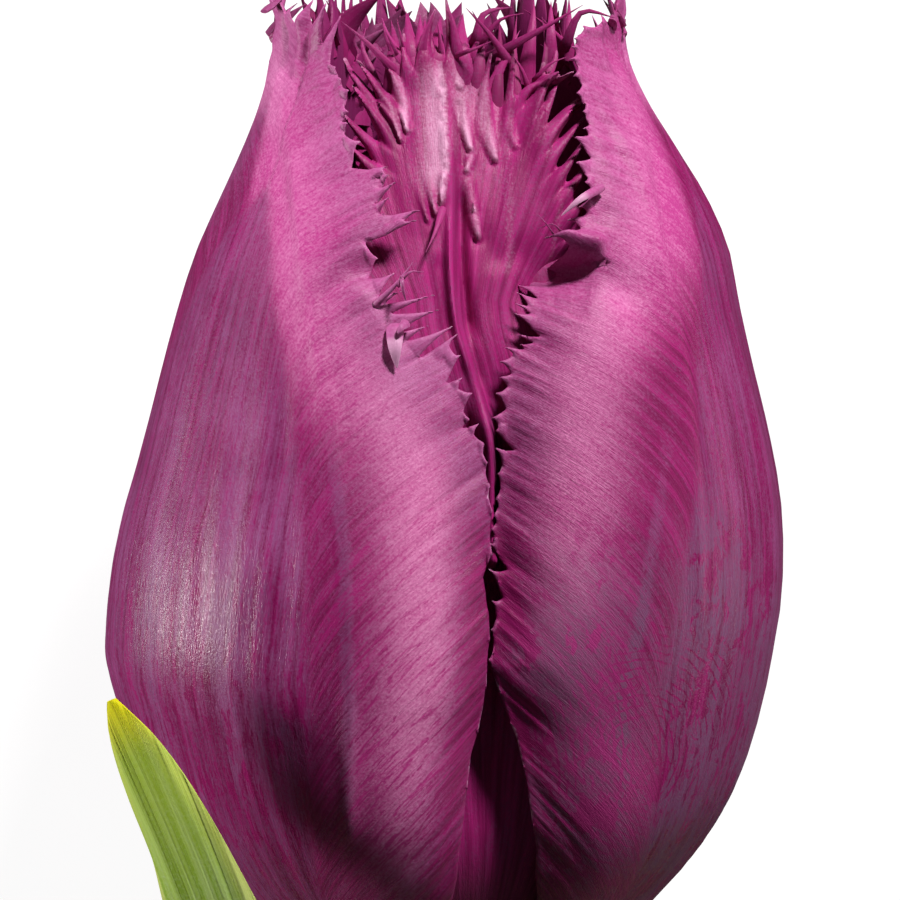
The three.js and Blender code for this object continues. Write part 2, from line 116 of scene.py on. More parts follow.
def lattice(ix, iy, seed):
    """A fixed pseudo-random number from -1 to 1 at each lattice point."""
    h = (ix * 374761393 + iy * 668265263 + seed * 974634777) & 0xFFFFFFFF
    h = ((h ^ (h >> 13)) * 1274126177) & 0xFFFFFFFF
    h = (h ^ (h >> 16)) & 0xFFFFFFFF
    return h / 2147483647.5 - 1


def noise(x, y=0.0, seed=0):
    """Smooth value noise from -1 to 1 with features one unit wide."""
    x, y = np.broadcast_arrays(np.asarray(x, float), np.asarray(y, float))
    ix, iy = np.floor(x).astype(np.int64), np.floor(y).astype(np.int64)
    fx, fy = x - ix, y - iy
    fx, fy = fx * fx * (3 - 2 * fx), fy * fy * (3 - 2 * fy)
    a, b = lattice(ix, iy, seed), lattice(ix + 1, iy, seed)
    c, d = lattice(ix, iy + 1, seed), lattice(ix + 1, iy + 1, seed)
    return (a + (b - a) * fx) * (1 - fy) + (c + (d - c) * fx) * fy


# ---- the bloom's body, as in the CAD model --------------------------------------------------
BASE = np.array([0, 0, 22.93])
TILT = 5 * RAD
ALONG = np.array([0, math.cos(TILT), math.sin(TILT)])
UPWARD = np.array([0, -math.sin(TILT), math.cos(TILT)])
ACROSS = np.array([1.0, 0, 0])
SEAM = 10.5
MERIDIAN = [
    [3.6, 0], [8, 1.2], [12.3, 3.6], [15.83, 7.4], [19.15, 11.1], [21.58, 14.8], [23.19, 18.5],
    [24.28, 22.2], [25.13, 25.9], [25.38, 29.6], [25.21, 33.3], [24.68, 37], [23.85, 40.7],
    [22.93, 44.4], [21.92, 48.1], [20.83, 51.9], [19.75, 55.6], [18.12, 59.3], [16.23, 63],
    [14.44, 66.7], [13.16, 70.4], [13.5, 74], [13.9, 76],
]
SWAY = [
    [0, 0], [14.8, -0.4], [22.2, -0.59], [25.9, -0.72], [29.6, -0.39], [33.3, -0.07], [37, 0.25],
    [40.7, 0.49], [44.4, 0.58], [48.1, 0.61], [51.9, 0.68], [55.6, 0.92], [59.3, 1.02],
    [63, 0.86], [66.7, 0.49], [70.4, 0.11], [76, 0],
]
SEAM_DEPTH = [[0, 0], [6, 0], [14, 0.08], [24, 0.17], [55, 0.2], [66, 0.17], [76, 0.12]]

_m = catmull(MERIDIAN, 60)
_run = np.concatenate([[0], np.cumsum(np.linalg.norm(np.diff(_m, axis=0), axis=1))])
RUN_END = _run[-1]
_t = np.gradient(_m, _run, axis=0)
_t /= np.linalg.norm(_t, axis=1, keepdims=True)


def meridian(run):
    run = np.asarray(run, float)
    c = np.clip(run, 0, RUN_END)
    r, h = np.interp(c, _run, _m[:, 0]), np.interp(c, _run, _m[:, 1])
    tr, th = np.interp(c, _run, _t[:, 0]), np.interp(c, _run, _t[:, 1])
    return r, h + run - c, th, -tr


def run_at(h):
    return np.interp(h, _m[:, 1], _run)


def bloom(az, run, depth):
    """A point on the bloom by azimuth (0 up, 90 to +X), run along the meridian and depth inside it."""
    az, run, depth = np.broadcast_arrays(np.asarray(az, float), np.asarray(run, float), np.asarray(depth, float))
    r0, h0, nr, nh = meridian(run)
    h = h0 - depth * nh
    seam = ((1 + np.cos(3 * (az - SEAM) * RAD)) / 2) ** 2.2
    r = (r0 - depth * nr) * (1 - through(SEAM_DEPTH, h0) * seam)
    a = az * RAD
    return (
        BASE
        + h[..., None] * ALONG
        + (through(SWAY, h) + r * np.sin(a))[..., None] * ACROSS
        + (r * np.cos(a))[..., None] * UPWARD
    )


# The camera looks straight down, so a point of its 900 x 900 frame names a place on the bloom.
EYE = np.array([0.52, 40.55, 304.78])
FOCAL = 3750.0


def seen(p):
    k = FOCAL / (EYE[2] - p[..., 2])
    return 450 + (p[..., 0] - EYE[0]) * k, 450 - (p[..., 1] - EYE[1]) * k


def at(x, y, z):
    """The point at height z that shows at (x, y) of the frame."""
    x, y, z = np.broadcast_arrays(*(np.asarray(v, float) for v in (x, y, z)))
    k = (EYE[2] - z) / FOCAL
    return np.stack([EYE[0] + (x - 450) * k, EYE[1] - (y - 450) * k, z], -1)


def pick(x, y, depth=0.0):
    """Azimuth and run of the bloom's surface where it shows at (x, y)."""
    x, y = np.asarray(x, float), np.asarray(y, float)
    lx, ly = EYE[0] + (x - 450) / 13.6, EYE[1] - (y - 450) / 13.6
    run = run_at(np.clip(ly - 1, 0.5, 75))
    az = np.degrees(np.arcsin(np.clip(lx / meridian(run)[0], -0.93, 0.93)))
    for _ in range(30):
        px, py = seen(bloom(az, run, depth))
        ax, ay = seen(bloom(az + 0.1, run, depth))
        rx, ry = seen(bloom(az, run + 0.1, depth))
        a11, a21, a12, a22 = (ax - px) / 0.1, (ay - py) / 0.1, (rx - px) / 0.1, (ry - py) / 0.1
        det = a11 * a22 - a12 * a21
        det = np.where(np.abs(det) < 2, np.where(det < 0, -2, 2), det)
        ex, ey = x - px, y - py
        az = az + np.clip((a22 * ex - a12 * ey) / det, -6, 6)
        run = run + np.clip((-a21 * ex + a11 * ey) / det, -4, 4)
        az = np.clip(az, -84, 84)
    return az, run


def near_line(x, y, line):
    """Distance to a line of the frame, its side (positive to the right of its course, going down) and the share along it."""
    line = np.asarray(line, float)
    best = np.full(np.shape(x), 1e9)
    side = np.zeros(np.shape(x))
    share = np.zeros(np.shape(x))
    run = np.concatenate([[0], np.cumsum(np.linalg.norm(np.diff(line, axis=0), axis=1))])
    for i in range(len(line) - 1):
        a, d = line[i], line[i + 1] - line[i]
        n = np.linalg.norm(d)
        t = np.clip(((x - a[0]) * d[0] + (y - a[1]) * d[1]) / n**2, 0, 1)
        dx, dy = x - a[0] - t * d[0], y - a[1] - t * d[1]
        dist = np.hypot(dx, dy)
        closer = dist < best
        best = np.where(closer, dist, best)
        side = np.where(closer, np.sign(d[1] * dx - d[0] * dy), side)
        share = np.where(closer, (run[i] + t * n) / run[-1], share)
    return best, side, share


def bell(x, y, line, width, taper=0.0):
    """1 on a line of the frame, falling off over width; it can fade towards the line's ends."""
    d, _, s = near_line(x, y, line)
    w = np.exp(-((d / width) ** 2))
    if taper:
        w = w * ramp(0, taper, s) * ramp(1, 1 - taper, s)
    return w


# ---- meshes -----------------------------------------------------------------------------------
def piece(name, pts, faces, node=None, slot=None, material=None, uvs=None, floats=None, sharp=None):
    """A mesh object from points in local millimetres. faces holds index arrays of quads and triangles."""
    me = bpy.data.meshes.new(name)
    v = ((np.asarray(pts, float) + SHIFT) / 1000).astype(np.float32)
    sizes = np.concatenate([np.full(len(f), f.shape[1]) for f in faces])
    loops = np.concatenate([f.ravel() for f in faces]).astype(np.int32)
    me.vertices.add(len(v))
    me.vertices.foreach_set("co", v.ravel())
    me.loops.add(len(loops))
    me.loops.foreach_set("vertex_index", loops)
    me.polygons.add(len(sizes))
    me.polygons.foreach_set("loop_start", np.concatenate([[0], np.cumsum(sizes)[:-1]]).astype(np.int32))
    me.polygons.foreach_set("loop_total", sizes.astype(np.int32))
    me.polygons.foreach_set("use_smooth", np.ones(len(sizes), bool))
    me.update(calc_edges=True)
    me.validate()
    for key, (a, b) in (uvs or {}).items():
        layer = me.uv_layers.new(name=key)
        uv = np.stack([np.asarray(a, float).ravel(), np.asarray(b, float).ravel()], -1)[loops].astype(np.float32)
        layer.data.foreach_set("uv", uv.ravel())
    for key, val in (floats or {}).items():
        attr = me.attributes.new(key, "FLOAT", "POINT")
        attr.data.foreach_set("value", np.asarray(val, np.float32).ravel())
    if sharp:
        me.set_sharp_from_angle(angle=sharp * RAD)
    o = bpy.data.objects.new(name, me)
    bpy.context.scene.collection.objects.link(o)
    if material:
        me.materials.append(material)
    if node:
        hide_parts(node)
    if slot:
        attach(o, "root")
    return o


def grid_faces(rows, cols, start=0, flip=False, around=False):
    r = np.arange(rows - 1)[:, None]
    c = np.arange(cols if around else cols - 1)[None, :]
    n = (c + 1) % cols
    q = np.stack([r * cols + c, r * cols + n, (r + 1) * cols + n, (r + 1) * cols + c], -1).reshape(-1, 4) + start
    return q[:, ::-1] if flip else q


class Bag:
    """Collects parts of one mesh with their texture values."""

    KEYS = ("cu", "cv", "fu", "fv", "zone", "edge", "film", "tone", "tip")

    def __init__(self):
        self.pts, self.quads, self.tris, self.vals, self.count = [], [], [], {k: [] for k in self.KEYS}, 0

    def add(self, pts, quads=None, tris=None, **vals):
        pts = np.asarray(pts, float).reshape(-1, 3)
        n = len(pts)
        if quads is not None:
            self.quads.append(np.asarray(quads) + self.count)
        if tris is not None:
            self.tris.append(np.asarray(tris) + self.count)
        self.pts.append(pts)
        for k in self.KEYS:
            self.vals[k].append(np.broadcast_to(np.asarray(vals.get(k, 0.0), float).ravel() if np.ndim(vals.get(k, 0.0)) else float(vals.get(k, 0.0)), (n,)))
        self.count += n

    def make(self, name, **kw):
        v = {k: np.concatenate(self.vals[k]) for k in self.KEYS}
        faces = [np.concatenate(f) for f in (self.quads, self.tris) if f]
        return piece(
            name, np.vstack(self.pts), faces,
            uvs={"central": (v["cu"], v["cv"]), "fan": (v["fu"], v["fv"])},
            floats={k: v[k] for k in ("zone", "edge", "film", "tone", "tip")}, **kw,
        )


def blade(path, width, thick, face, rings=10, sides=8, point=0.9, swell=0.25, hollow=0.0, rooted=0.22):
    """A flattened tapering blade along a path of 3-D points. face is the direction its flat side looks."""
    pts, run = centripetal(path, 24) if len(path) > 2 else (np.asarray(path, float), np.array([0, np.linalg.norm(np.subtract(path[1], path[0]))]))
    s = (np.linspace(0, 1, rings) ** 0.85) * run[-1]
    p, t = along_line(pts, run, s)
    n = np.broadcast_to(np.asarray(face, float), p.shape)
    n = n - (n * t).sum(-1, keepdims=True) * t
    n = n / np.linalg.norm(n, axis=-1, keepdims=True)
    b = np.cross(t, n)
    u = s / run[-1]
    taper = (1 - u) ** point * (1 + swell * np.sin(u * math.pi)) * ramp(-0.06, rooted, u)
    w, h = width / 2 * taper + 0.015, thick / 2 * (1 - u) ** 0.75 * ramp(-0.06, rooted, u) + 0.015
    a = np.arange(sides) / sides * 2 * math.pi
    ring = p[:, None] + (w[:, None] * np.cos(a))[..., None] * b[:, None] + (h[:, None] * (np.sin(a) - hollow * np.abs(np.cos(a))))[..., None] * n[:, None]
    faces = grid_faces(rings, sides, around=True)
    tip = np.array([[(rings - 1) * sides, (rings - 1) * sides + k, (rings - 1) * sides + k + 1] for k in range(1, sides - 1)])
    root = np.array([[0, k + 1, k] for k in range(1, sides - 1)])
    return ring.reshape(-1, 3), faces, np.vstack([tip, root]), np.repeat(u, sides)


# ---- tepals -------------------------------------------------------------------------------------
# Outlines as in the CAD model, from the base up to the tip on each side: azimuth, then height.
OUTER = {
    "left": dict(centre=-49.5, tip=[-66, 73.8], depth=0.0, seed=11,
        high=[[-5, 0.9], [1, 5], [4.8, 10.5], [8.6, 18], [10.2, 25.8], [9.7, 32.1], [8.2, 37.6], [5.6, 43], [2, 45.8], [-2.5, 48.6], [-9, 52.7], [-13, 56.1], [-18, 59.6], [-25, 63], [-31.5, 66.5], [-40, 70], [-50, 72.8]],
        low=[[-94, 0.9], [-101, 5], [-105, 12], [-107.6, 20], [-108.4, 30], [-108, 40], [-106, 48], [-103, 55], [-98.5, 61], [-93, 66], [-86, 70.4], [-77, 73]]),
    "right": dict(centre=70.5, tip=[70, 73.2], depth=0.0, seed=23,
        high=[[115, 0.9], [122, 5], [126, 12], [128.4, 20], [129.3, 30], [129, 38], [127, 46], [123, 54], [116, 61], [107, 66.5], [96, 70.8], [83, 72.9]],
        low=[[26, 0.9], [27, 5], [25.5, 10.2], [20.6, 14.6], [15, 21], [12, 26.5], [10.9, 32.1], [10.9, 38], [11.5, 43.7], [13.4, 49.2], [17.5, 53.4], [25, 56.8], [32, 60], [36, 63.4], [40, 66.8], [46, 70.1], [57, 72.4]]),
    "under": dict(centre=190.5, tip=[189, 72.2], depth=0.0, seed=37,
        high=[[235, 0.9], [242, 5], [246, 12], [248.6, 20], [249.4, 30], [249, 40], [247, 48], [242, 55.5], [234, 61.5], [224, 66.5], [212, 70.2], [200, 71.9]],
        low=[[146, 0.9], [139, 5], [135, 12], [132.6, 20], [131.8, 30], [132.2, 40], [135, 48], [141, 55.5], [149, 61.5], [159, 66.2], [169, 69.7], [179, 71.6]]),
}
INNER = {
    "front": dict(centre=10.5, tip=[6, 70], depth=1.95, seed=41,
        high=[[44, 1.5], [53, 6], [60, 14], [65, 24], [67, 34], [66.5, 44], [63, 52], [57, 58], [50, 62.6], [42.5, 66], [34, 68.4], [20, 69.8]],
        low=[[-24, 1.5], [-32, 6], [-39, 14], [-44, 24], [-46, 34], [-45.5, 44], [-43.5, 52], [-39, 59], [-34, 63.6], [-28, 67], [-20, 69.2], [-8, 70]]),
    "lower_right": dict(centre=130.5, tip=[131, 72], depth=1.95, seed=53,
        high=[[164, 1.5], [173, 6], [180, 14], [185, 24], [187, 34], [186, 44], [181, 53], [173, 60.5], [163, 66.5], [153, 70], [143, 71.7]],
        low=[[97, 1.5], [88, 6], [81, 14], [76, 24], [74, 34], [75, 44], [80, 53], [88, 60.5], [98, 66.5], [109, 70], [119, 71.7]]),
    "lower_left": dict(centre=-109.5, tip=[-112, 71.6], depth=1.95, seed=67,
        high=[[-76, 1.5], [-67, 6], [-60, 14], [-55, 24], [-53, 34], [-54, 44], [-59, 53], [-67, 60.5], [-77, 66.3], [-88, 69.8], [-100, 71.4]],
        low=[[-143, 1.5], [-152, 6], [-159, 14], [-164, 24], [-166, 34], [-165, 44], [-160, 53], [-153, 60.5], [-144, 66.3], [-134, 69.8], [-123, 71.3]]),
}
SEAM_SHIFT = 0.85
FOOT = 944.0

# The two margins that face the camera, from the tip down: the smooth line that the teeth stand on,
# then the teeth themselves as (x, y, kind, outward lift in mm), t a tip and n a notch.
LEFT_ROOT = [(281, 20), (296, 34), (312, 52), (328, 76), (339, 105), (345, 140), (352, 165), (366, 190), (370, 212), (364, 236), (364, 262), (376, 292), (394, 322), (414, 352), (436, 378), (456, 402), (470, 428), (483, 456), (489, 495), (491, 540), (491, 580), (493, 620), (492, 660), (488, 712), (474, 765), (466, 840), (459, 894)]
LEFT_TEETH = [
    (266, 7, "t", .2), (272, 20, "n", 0), (283, 8, "t", -.3), (288, 25, "n", 0), (297, 3, "t", -.6), (303, 30, "n", 0),
    (321, 1, "t", -.9), (316, 48, "n", 0), (331, 14, "t", -1.2), (326, 62, "n", 0), (334, 66, "t", .3), (335, 77, "n", .1), (343, 79, "t", .2),
    (342, 87, "n", 0), (351, 91, "t", .2), (344, 107, "n", 0), (350, 112, "t", .1), (341, 122, "n", 0), (349, 124, "t", .2), (343, 134, "n", 0), (360, 142, "t", .3),
    (349, 167, "n", 0), (389, 168, "t", .5), (384, 173, "n", .4), (389, 176, "t", .5), (377, 188, "n", .1), (398, 186, "t", .9), (372, 203, "n", .1), (390, 200, "t", .7), (377, 213, "n", .2),
    (425, 215, "t", 1.3), (404, 222, "n", .7), (418, 224, "t", 1.0), (362, 240, "n", .1), (374, 253, "t", -.2), (362, 275, "n", 0),
    (394, 271, "t", .3), (376, 296, "n", .1), (402, 291, "t", .4), (381, 304, "n", .2), (436, 296, "t", .8), (388, 313, "n", .2), (439, 312, "t", 1.0), (394, 333, "n", .2),
    (428, 326, "t", .4), (404, 341, "n", .2), (453, 327, "t", .8), (412, 362, "n", .1), (458, 334, "t", .6), (449, 347, "n", .3), (460, 355, "t", .4), (445, 383, "n", .1), (462, 377, "t", .3), (458, 388, "n", .1),
    (473, 392, "t", .3), (463, 410, "n", .1), (471, 418, "t", .2), (461, 427, "n", 0), (480, 422, "t", .1), (474, 433, "n", 0), (486, 442, "t", .1), (484, 452, "n", 0), (489, 460, "t", .1), (487, 472, "n", 0),
    (492, 484, "t", .1), (490, 494, "n", 0), (495, 508, "t", .1), (493, 524, "n", 0), (496, 553, "t", .2), (486, 577, "n", -.1), (489, 592, "t", 0), (490, 604, "n", 0), (493, 616, "t", 0), (493, 626, "n", 0),
    (494, 640, "t", 0), (491, 664, "n", 0), (491, 690, "t", 0), (487, 716, "n", 0), (482, 740, "t", 0), (474, 765, "n", 0), (470, 800, "t", 0), (465, 840, "n", 0), (461, 868, "t", 0), (458, 894, "n", 0),
]
RIGHT_ROOT = [(614, 22), (602, 28), (589, 38), (582, 56), (585, 80), (591, 108), (593, 135), (596, 160), (599, 188), (595, 216), (584, 240), (570, 260), (554, 285), (541, 308), (530, 332), (521, 352), (514, 376), (511, 400), (509, 425), (509, 450), (507, 480), (504, 515), (505, 560), (507, 600), (503, 640), (498, 672), (505, 692), (517, 720), (528, 750), (540, 810), (547, 867), (546, 894)]
RIGHT_TEETH = [
    (622, 19, "t", .5), (612, 24, "n", 0), (609, 15, "t", -.3), (598, 28, "n", 0), (588, 26, "t", -.2), (586, 34, "n", 0), (573, 38, "t", .2), (577, 44, "n", .1), (571, 47, "t", .2), (578, 54, "n", 0),
    (569, 59, "t", .2), (579, 66, "n", 0), (573, 76, "t", .2), (584, 84, "n", 0), (575, 93, "t", .3), (587, 104, "n", 0), (583, 111, "t", .2), (592, 123, "n", 0), (584, 128, "t", .2), (591, 134, "n", 0), (572, 137, "t", .4),
    (594, 157, "n", 0), (573, 163, "t", .5), (589, 177, "n", .1), (584, 182, "t", .2), (598, 190, "n", 0), (580, 206, "t", .2), (590, 212, "n", 0), (568, 219, "t", .3), (583, 228, "n", .1), (543, 240, "t", .9), (573, 249, "n", .2),
    (560, 255, "t", -.6), (566, 264, "n", -1.0), (545, 268, "t", -.8), (547, 276, "n", -.6), (529, 275, "t", .1), (546, 295, "n", 0), (522, 288, "t", .3), (533, 304, "n", .1), (516, 301, "t", .3), (535, 311, "n", .1), (516, 312, "t", .3),
    (544, 336, "n", -.1), (512, 333, "t", .3), (540, 341, "n", 0), (522, 343, "t", .2), (528, 348, "n", 0), (505, 346, "t", .2), (516, 353, "n", 0), (501, 360, "t", .2), (515, 372, "n", 0), (500, 375, "t", .1), (511, 384, "n", 0), (497, 391, "t", .1), (510, 406, "n", 0),
    (493, 416, "t", .2), (501, 421, "n", 0), (497, 426, "t", .1), (521, 447, "n", -.3), (499, 444, "t", .1), (508, 461, "n", -.2), (503, 469, "t", -.1), (507, 484, "n", -.1), (501, 494, "t", .1), (505, 502, "n", -.1), (499, 511, "t", .1), (503, 519, "n", 0),
    (496, 526, "t", .1), (501, 533, "n", 0), (495, 541, "t", .3), (517, 569, "n", -.2), (494, 568, "t", .3), (512, 600, "n", -.2), (499, 602, "t", -.1), (504, 622, "n", 0), (498, 634, "t", 0), (501, 650, "n", 0), (494, 666, "t", .3), (502, 686, "n", 0), (508, 704, "t", 0), (515, 722, "n", 0), (521, 738, "t", 0), (528, 753, "n", 0),
    (534, 780, "t", 0), (540, 812, "n", 0), (543, 840, "t", 0), (547, 868, "n", 0), (545, 894, "n", 0),
]
def below_frame(root, teeth, t, side, shift):
    """Both lines go on along the margin of the model, below the part that the frame shows."""
    table = np.array([q for q in t[side] if q[1] < 20], float)
    for h in (8.6, 7.4, 6.4):
        az = np.interp(h, table[:, 1], table[:, 0]) + shift
        x, y = (float(q) for q in seen(bloom(az, float(run_at(h)), t["depth"])))
        if y > root[-1][1] + 6:
            root.append((x, y))
            teeth.append((x, y, "n", 0))


below_frame(LEFT_ROOT, LEFT_TEETH, OUTER["left"], "high", -SEAM_SHIFT)
below_frame(RIGHT_ROOT, RIGHT_TEETH, OUTER["right"], "low", SEAM_SHIFT)
FOOT = min(LEFT_ROOT[-1][1], RIGHT_ROOT[-1][1]) - 2.0
# The rachis-like ridge of the left tepal: veins run up along it and leave it towards the margin.
RIDGE_LINE = [(283, 90), (293, 170), (303, 240), (318, 350), (334, 460), (345, 560), (350, 700), (350, 860)]


def margin_of(t, root=None, side="high"):
    """The smooth margin of one side, from the base to the tip, with its running length in mm."""
    shift = -SEAM_SHIFT if side == "high" else SEAM_SHIFT
    table = t[side]
    if root is None:
        pts = [[a + shift * float(ramp(60, 40, h)), h] for a, h in table] + [t["tip"]]
        pts = [[a, float(run_at(h))] for a, h in pts]
    else:
        x, y = np.array(root, float).T
        a, r = pick(x, y, t["depth"])
        pts = [[ta + shift, float(run_at(h))] for ta, h in table if h < 6]
        pts += [[p, q] for p, q in zip(a[::-1], r[::-1])] + [[t["tip"][0], float(run_at(t["tip"][1]))]]
    line = catmull(pts, 40)
    rad = meridian(line[:, 1])[0]
    step = np.hypot(np.diff(line[:, 0]) * RAD * (rad[1:] + rad[:-1]) / 2, np.diff(line[:, 1]))
    return line, np.concatenate([[0], np.cumsum(step)])


def tooth_size(h):
    """Spacing and length of the fringe by height."""
    return (
        through([[0, 2.4], [25, 2.0], [37, 1.7], [50, 1.6], [60, 1.7], [76, 1.75]], h),
        through([[0, 0.08], [20, 0.12], [28, 0.3], [37, 0.7], [45, 1.2], [52, 2.0], [60, 2.9], [68, 3.3], [76, 3.2]], h),
    )


def grown_teeth(line, run, seed, scale=1.0, inward=0.0):
    """Notches and tips along a margin: length run, then the offset along the margin, out of it and outward."""
    rng = np.random.default_rng(seed)
    out, s, end = [], 1.5, run[-1]
    height = lambda q: float(meridian(np.interp(q, run, line[:, 1]))[1])
    while s < end - 0.7:
        gap, length = tooth_size(height(s))
        gap = float(gap) * rng.uniform(0.7, 1.4)
        length = float(length) * scale * (rng.uniform(0.45, 1.0) if rng.random() < 0.75 else rng.uniform(1.0, 1.5))
        lean = rng.uniform(0.1, 0.75)
        h = height(s)
        lift = rng.uniform(-0.5, 0.5) * length * 0.55 + inward * length * 0.3
        out.append((s, 0.0, -0.12 * length * rng.uniform(0, 1.5), 0.0, 0.0))
        if s + gap * 0.5 < end:
            out.append((s + gap * 0.5, lean * length * 0.7, length, lift, 1.0))
        s += gap
    return out


def side_columns(line, run, teeth, sign):
    """Columns of one side, base to tip: length run, offset (arc mm, run mm), lift, how far along a tooth."""
    tangent = np.gradient(line, run, axis=0)
    rad = meridian(line[:, 1])[0]
    tx, ty = tangent[:, 0] * RAD * rad, tangent[:, 1]
    n = np.hypot(tx, ty)
    tx, ty = tx / n, ty / n
    v = []
    for s, a, b, lift, tip in teeth:
        cx, cy = np.interp(s, run, tx), np.interp(s, run, ty)
        nx, ny = (cy, -cx) if sign > 0 else (-cy, cx)
        v.append((s, cx * a + nx * b, cy * a + ny * b, lift, tip))
    v = np.array(sorted(v))
    keep = [0]
    for i in range(1, len(v)):
        if v[i, 0] > v[keep[-1], 0] + 0.08 and v[i, 0] < run[-1] - 0.1:
            keep.append(i)
    v = v[keep]
    rows = []
    first = v[0, 0]
    for s in np.arange(0, first, 0.9):
        rows.append((s, 0, 0, 0, 0))
    where = lambda q: np.array([np.interp(q[0], run, line[:, 0]) * RAD * float(meridian(np.interp(q[0], run, line[:, 1]))[0]), np.interp(q[0], run, line[:, 1])])
    for i in range(len(v) - 1):
        a, b = v[i], v[i + 1]
        size = math.hypot(*(b[1:3] - a[1:3])) + (b[0] - a[0])
        k = int(np.clip(math.ceil(size / 0.45), 2, 6))
        pull = np.zeros(2)
        if a[4] != b[4]:
            tipi, noti = (i, i + 1) if a[4] > b[4] else (i + 1, i)
            other = 2 * tipi - noti
            if 0 <= other < len(v):
                centre = (v[other, 1:3] + v[noti, 1:3]) / 2 - v[noti, 1:3] + np.array([0, (v[other, 0] - v[noti, 0]) / 2 * 0.5])
                pull = centre * 0.22
        for j in range(k):
            u = j / k
            q = a + (b - a) * u
            w = 4 * u * (1 - u)
            rows.append((q[0], q[1] + pull[0] * w, q[2] + pull[1] * w, q[3], (a[4] + (b[4] - a[4]) * u)))
    rows.append(tuple(v[-1]))
    for s in np.arange(v[-1, 0] + 0.5, run[-1] - 0.05, 0.5):
        f = max(0.0, 1 - (s - v[-1, 0]) / 1.5)
        rows.append((s, v[-1, 1] * f, v[-1, 2] * f, 0, 0))
    return np.array(rows)


def outline_field(x, y, poly):
    """Signed distance to a closed outline of the frame, positive inside."""
    poly = np.asarray(poly, float)
    shape = np.shape(x)
    x, y = np.ravel(x), np.ravel(y)
    best = np.full(len(x), 1e9)
    inside = np.zeros(len(x), bool)
    for a, b in zip(poly, np.roll(poly, -1, axis=0)):
        d = b - a
        n = max(float(d @ d), 1e-9)
        t = np.clip(((x - a[0]) * d[0] + (y - a[1]) * d[1]) / n, 0, 1)
        best = np.minimum(best, (x - a[0] - t * d[0]) ** 2 + (y - a[1] - t * d[1]) ** 2)
        if a[1] != b[1]:
            cross = (a[1] > y) != (b[1] > y)
            inside ^= cross & (x < d[0] * (y - a[1]) / d[1] + a[0])
    return (np.where(inside, 1, -1) * np.sqrt(best)).reshape(shape)


def frame_sheet(bag, box, step, field, surface):
    """A closed thin sheet where field(x, y) is positive. surface gives its front and back points and its values."""
    xs, ys = np.arange(box[0], box[1] + step, step), np.arange(box[2], box[3] + step, step)
    X, Y = np.meshgrid(xs, ys)
    F = field(X, Y)
    F[0], F[-1], F[:, 0], F[:, -1] = (np.minimum(f, -0.5) for f in (F[0], F[-1], F[:, 0], F[:, -1]))
    ins = F > 0
    index = np.full(F.shape, -1)
    index[ins] = np.arange(ins.sum())
    px, py, fv = list(X[ins]), list(Y[ins]), list(F[ins])
    full = ins[:-1, :-1] & ins[1:, :-1] & ins[1:, 1:] & ins[:-1, 1:]
    i, j = np.nonzero(full)
    quads = np.stack([index[i, j], index[i + 1, j], index[i + 1, j + 1], index[i, j + 1]], -1)
    some = (ins[:-1, :-1] | ins[1:, :-1] | ins[1:, 1:] | ins[:-1, 1:]) & ~full
    cut, tris, rim = {}, [], []
    for i, j in zip(*np.nonzero(some)):
        ring = [(i, j), (i + 1, j), (i + 1, j + 1), (i, j + 1)]
        poly, crossing = [], []
        for k in range(4):
            a, b = ring[k], ring[(k + 1) % 4]
            if ins[a]:
                poly.append(index[a])
                crossing.append(False)
            if ins[a] != ins[b]:
                key = (min(a, b), max(a, b))
                if key not in cut:
                    u = min(max(F[key[0]] / (F[key[0]] - F[key[1]]), 0.04), 0.96)
                    cut[key] = len(px)
                    px.append(X[key[0]] + u * (X[key[1]] - X[key[0]]))
                    py.append(Y[key[0]] + u * (Y[key[1]] - Y[key[0]]))
                    fv.append(0.0)
                poly.append(cut[key])
                crossing.append(True)
        for k in range(1, len(poly) - 1):
            tris.append((poly[0], poly[k], poly[k + 1]))
        for k in range(len(poly)):
            n = (k + 1) % len(poly)
            if crossing[k] and crossing[n]:
                rim.append((poly[k], poly[n]))
    px, py, fv = np.array(px, float), np.array(py, float), np.array(fv, float)
    front, back, vals = surface(px, py, fv)
    n = len(px)
    tris, rim = np.array(tris, int), np.array(rim, int)
    sides = np.stack([rim[:, 1], rim[:, 0], rim[:, 0] + n, rim[:, 1] + n], -1)
    both = {k: np.concatenate([np.broadcast_to(v, (n,)), np.broadcast_to(v, (n,))]) for k, v in vals.items()}
    bag.add(np.vstack([front, back]), quads=np.vstack([quads, quads[:, ::-1] + n, sides]), tris=np.vstack([tris, tris[:, ::-1] + n]), **both)


def toothed(teeth, pull=0.2):
    """The outline through tips and notches, with hollow sides to the teeth."""
    p = np.array([q[:2] for q in teeth], float)
    tip = [q[2] == "t" for q in teeth]
    out = []
    for i in range(len(p)):
        out.append(p[i])
        if i + 1 < len(p) and tip[i] != tip[i + 1]:
            ti, no = (i, i + 1) if tip[i] else (i + 1, i)
            other = 2 * ti - no
            centre = (p[no] + p[other]) / 2 if 0 <= other < len(p) else p[no]
            bend = (centre - p[no]) * pull
            for u in (0.25, 0.5, 0.75):
                out.append(p[i] + (p[i + 1] - p[i]) * u + bend * 4 * u * (1 - u) * (1.25 - 0.5 * (u if tip[i] else 1 - u)))
    return np.array(out)


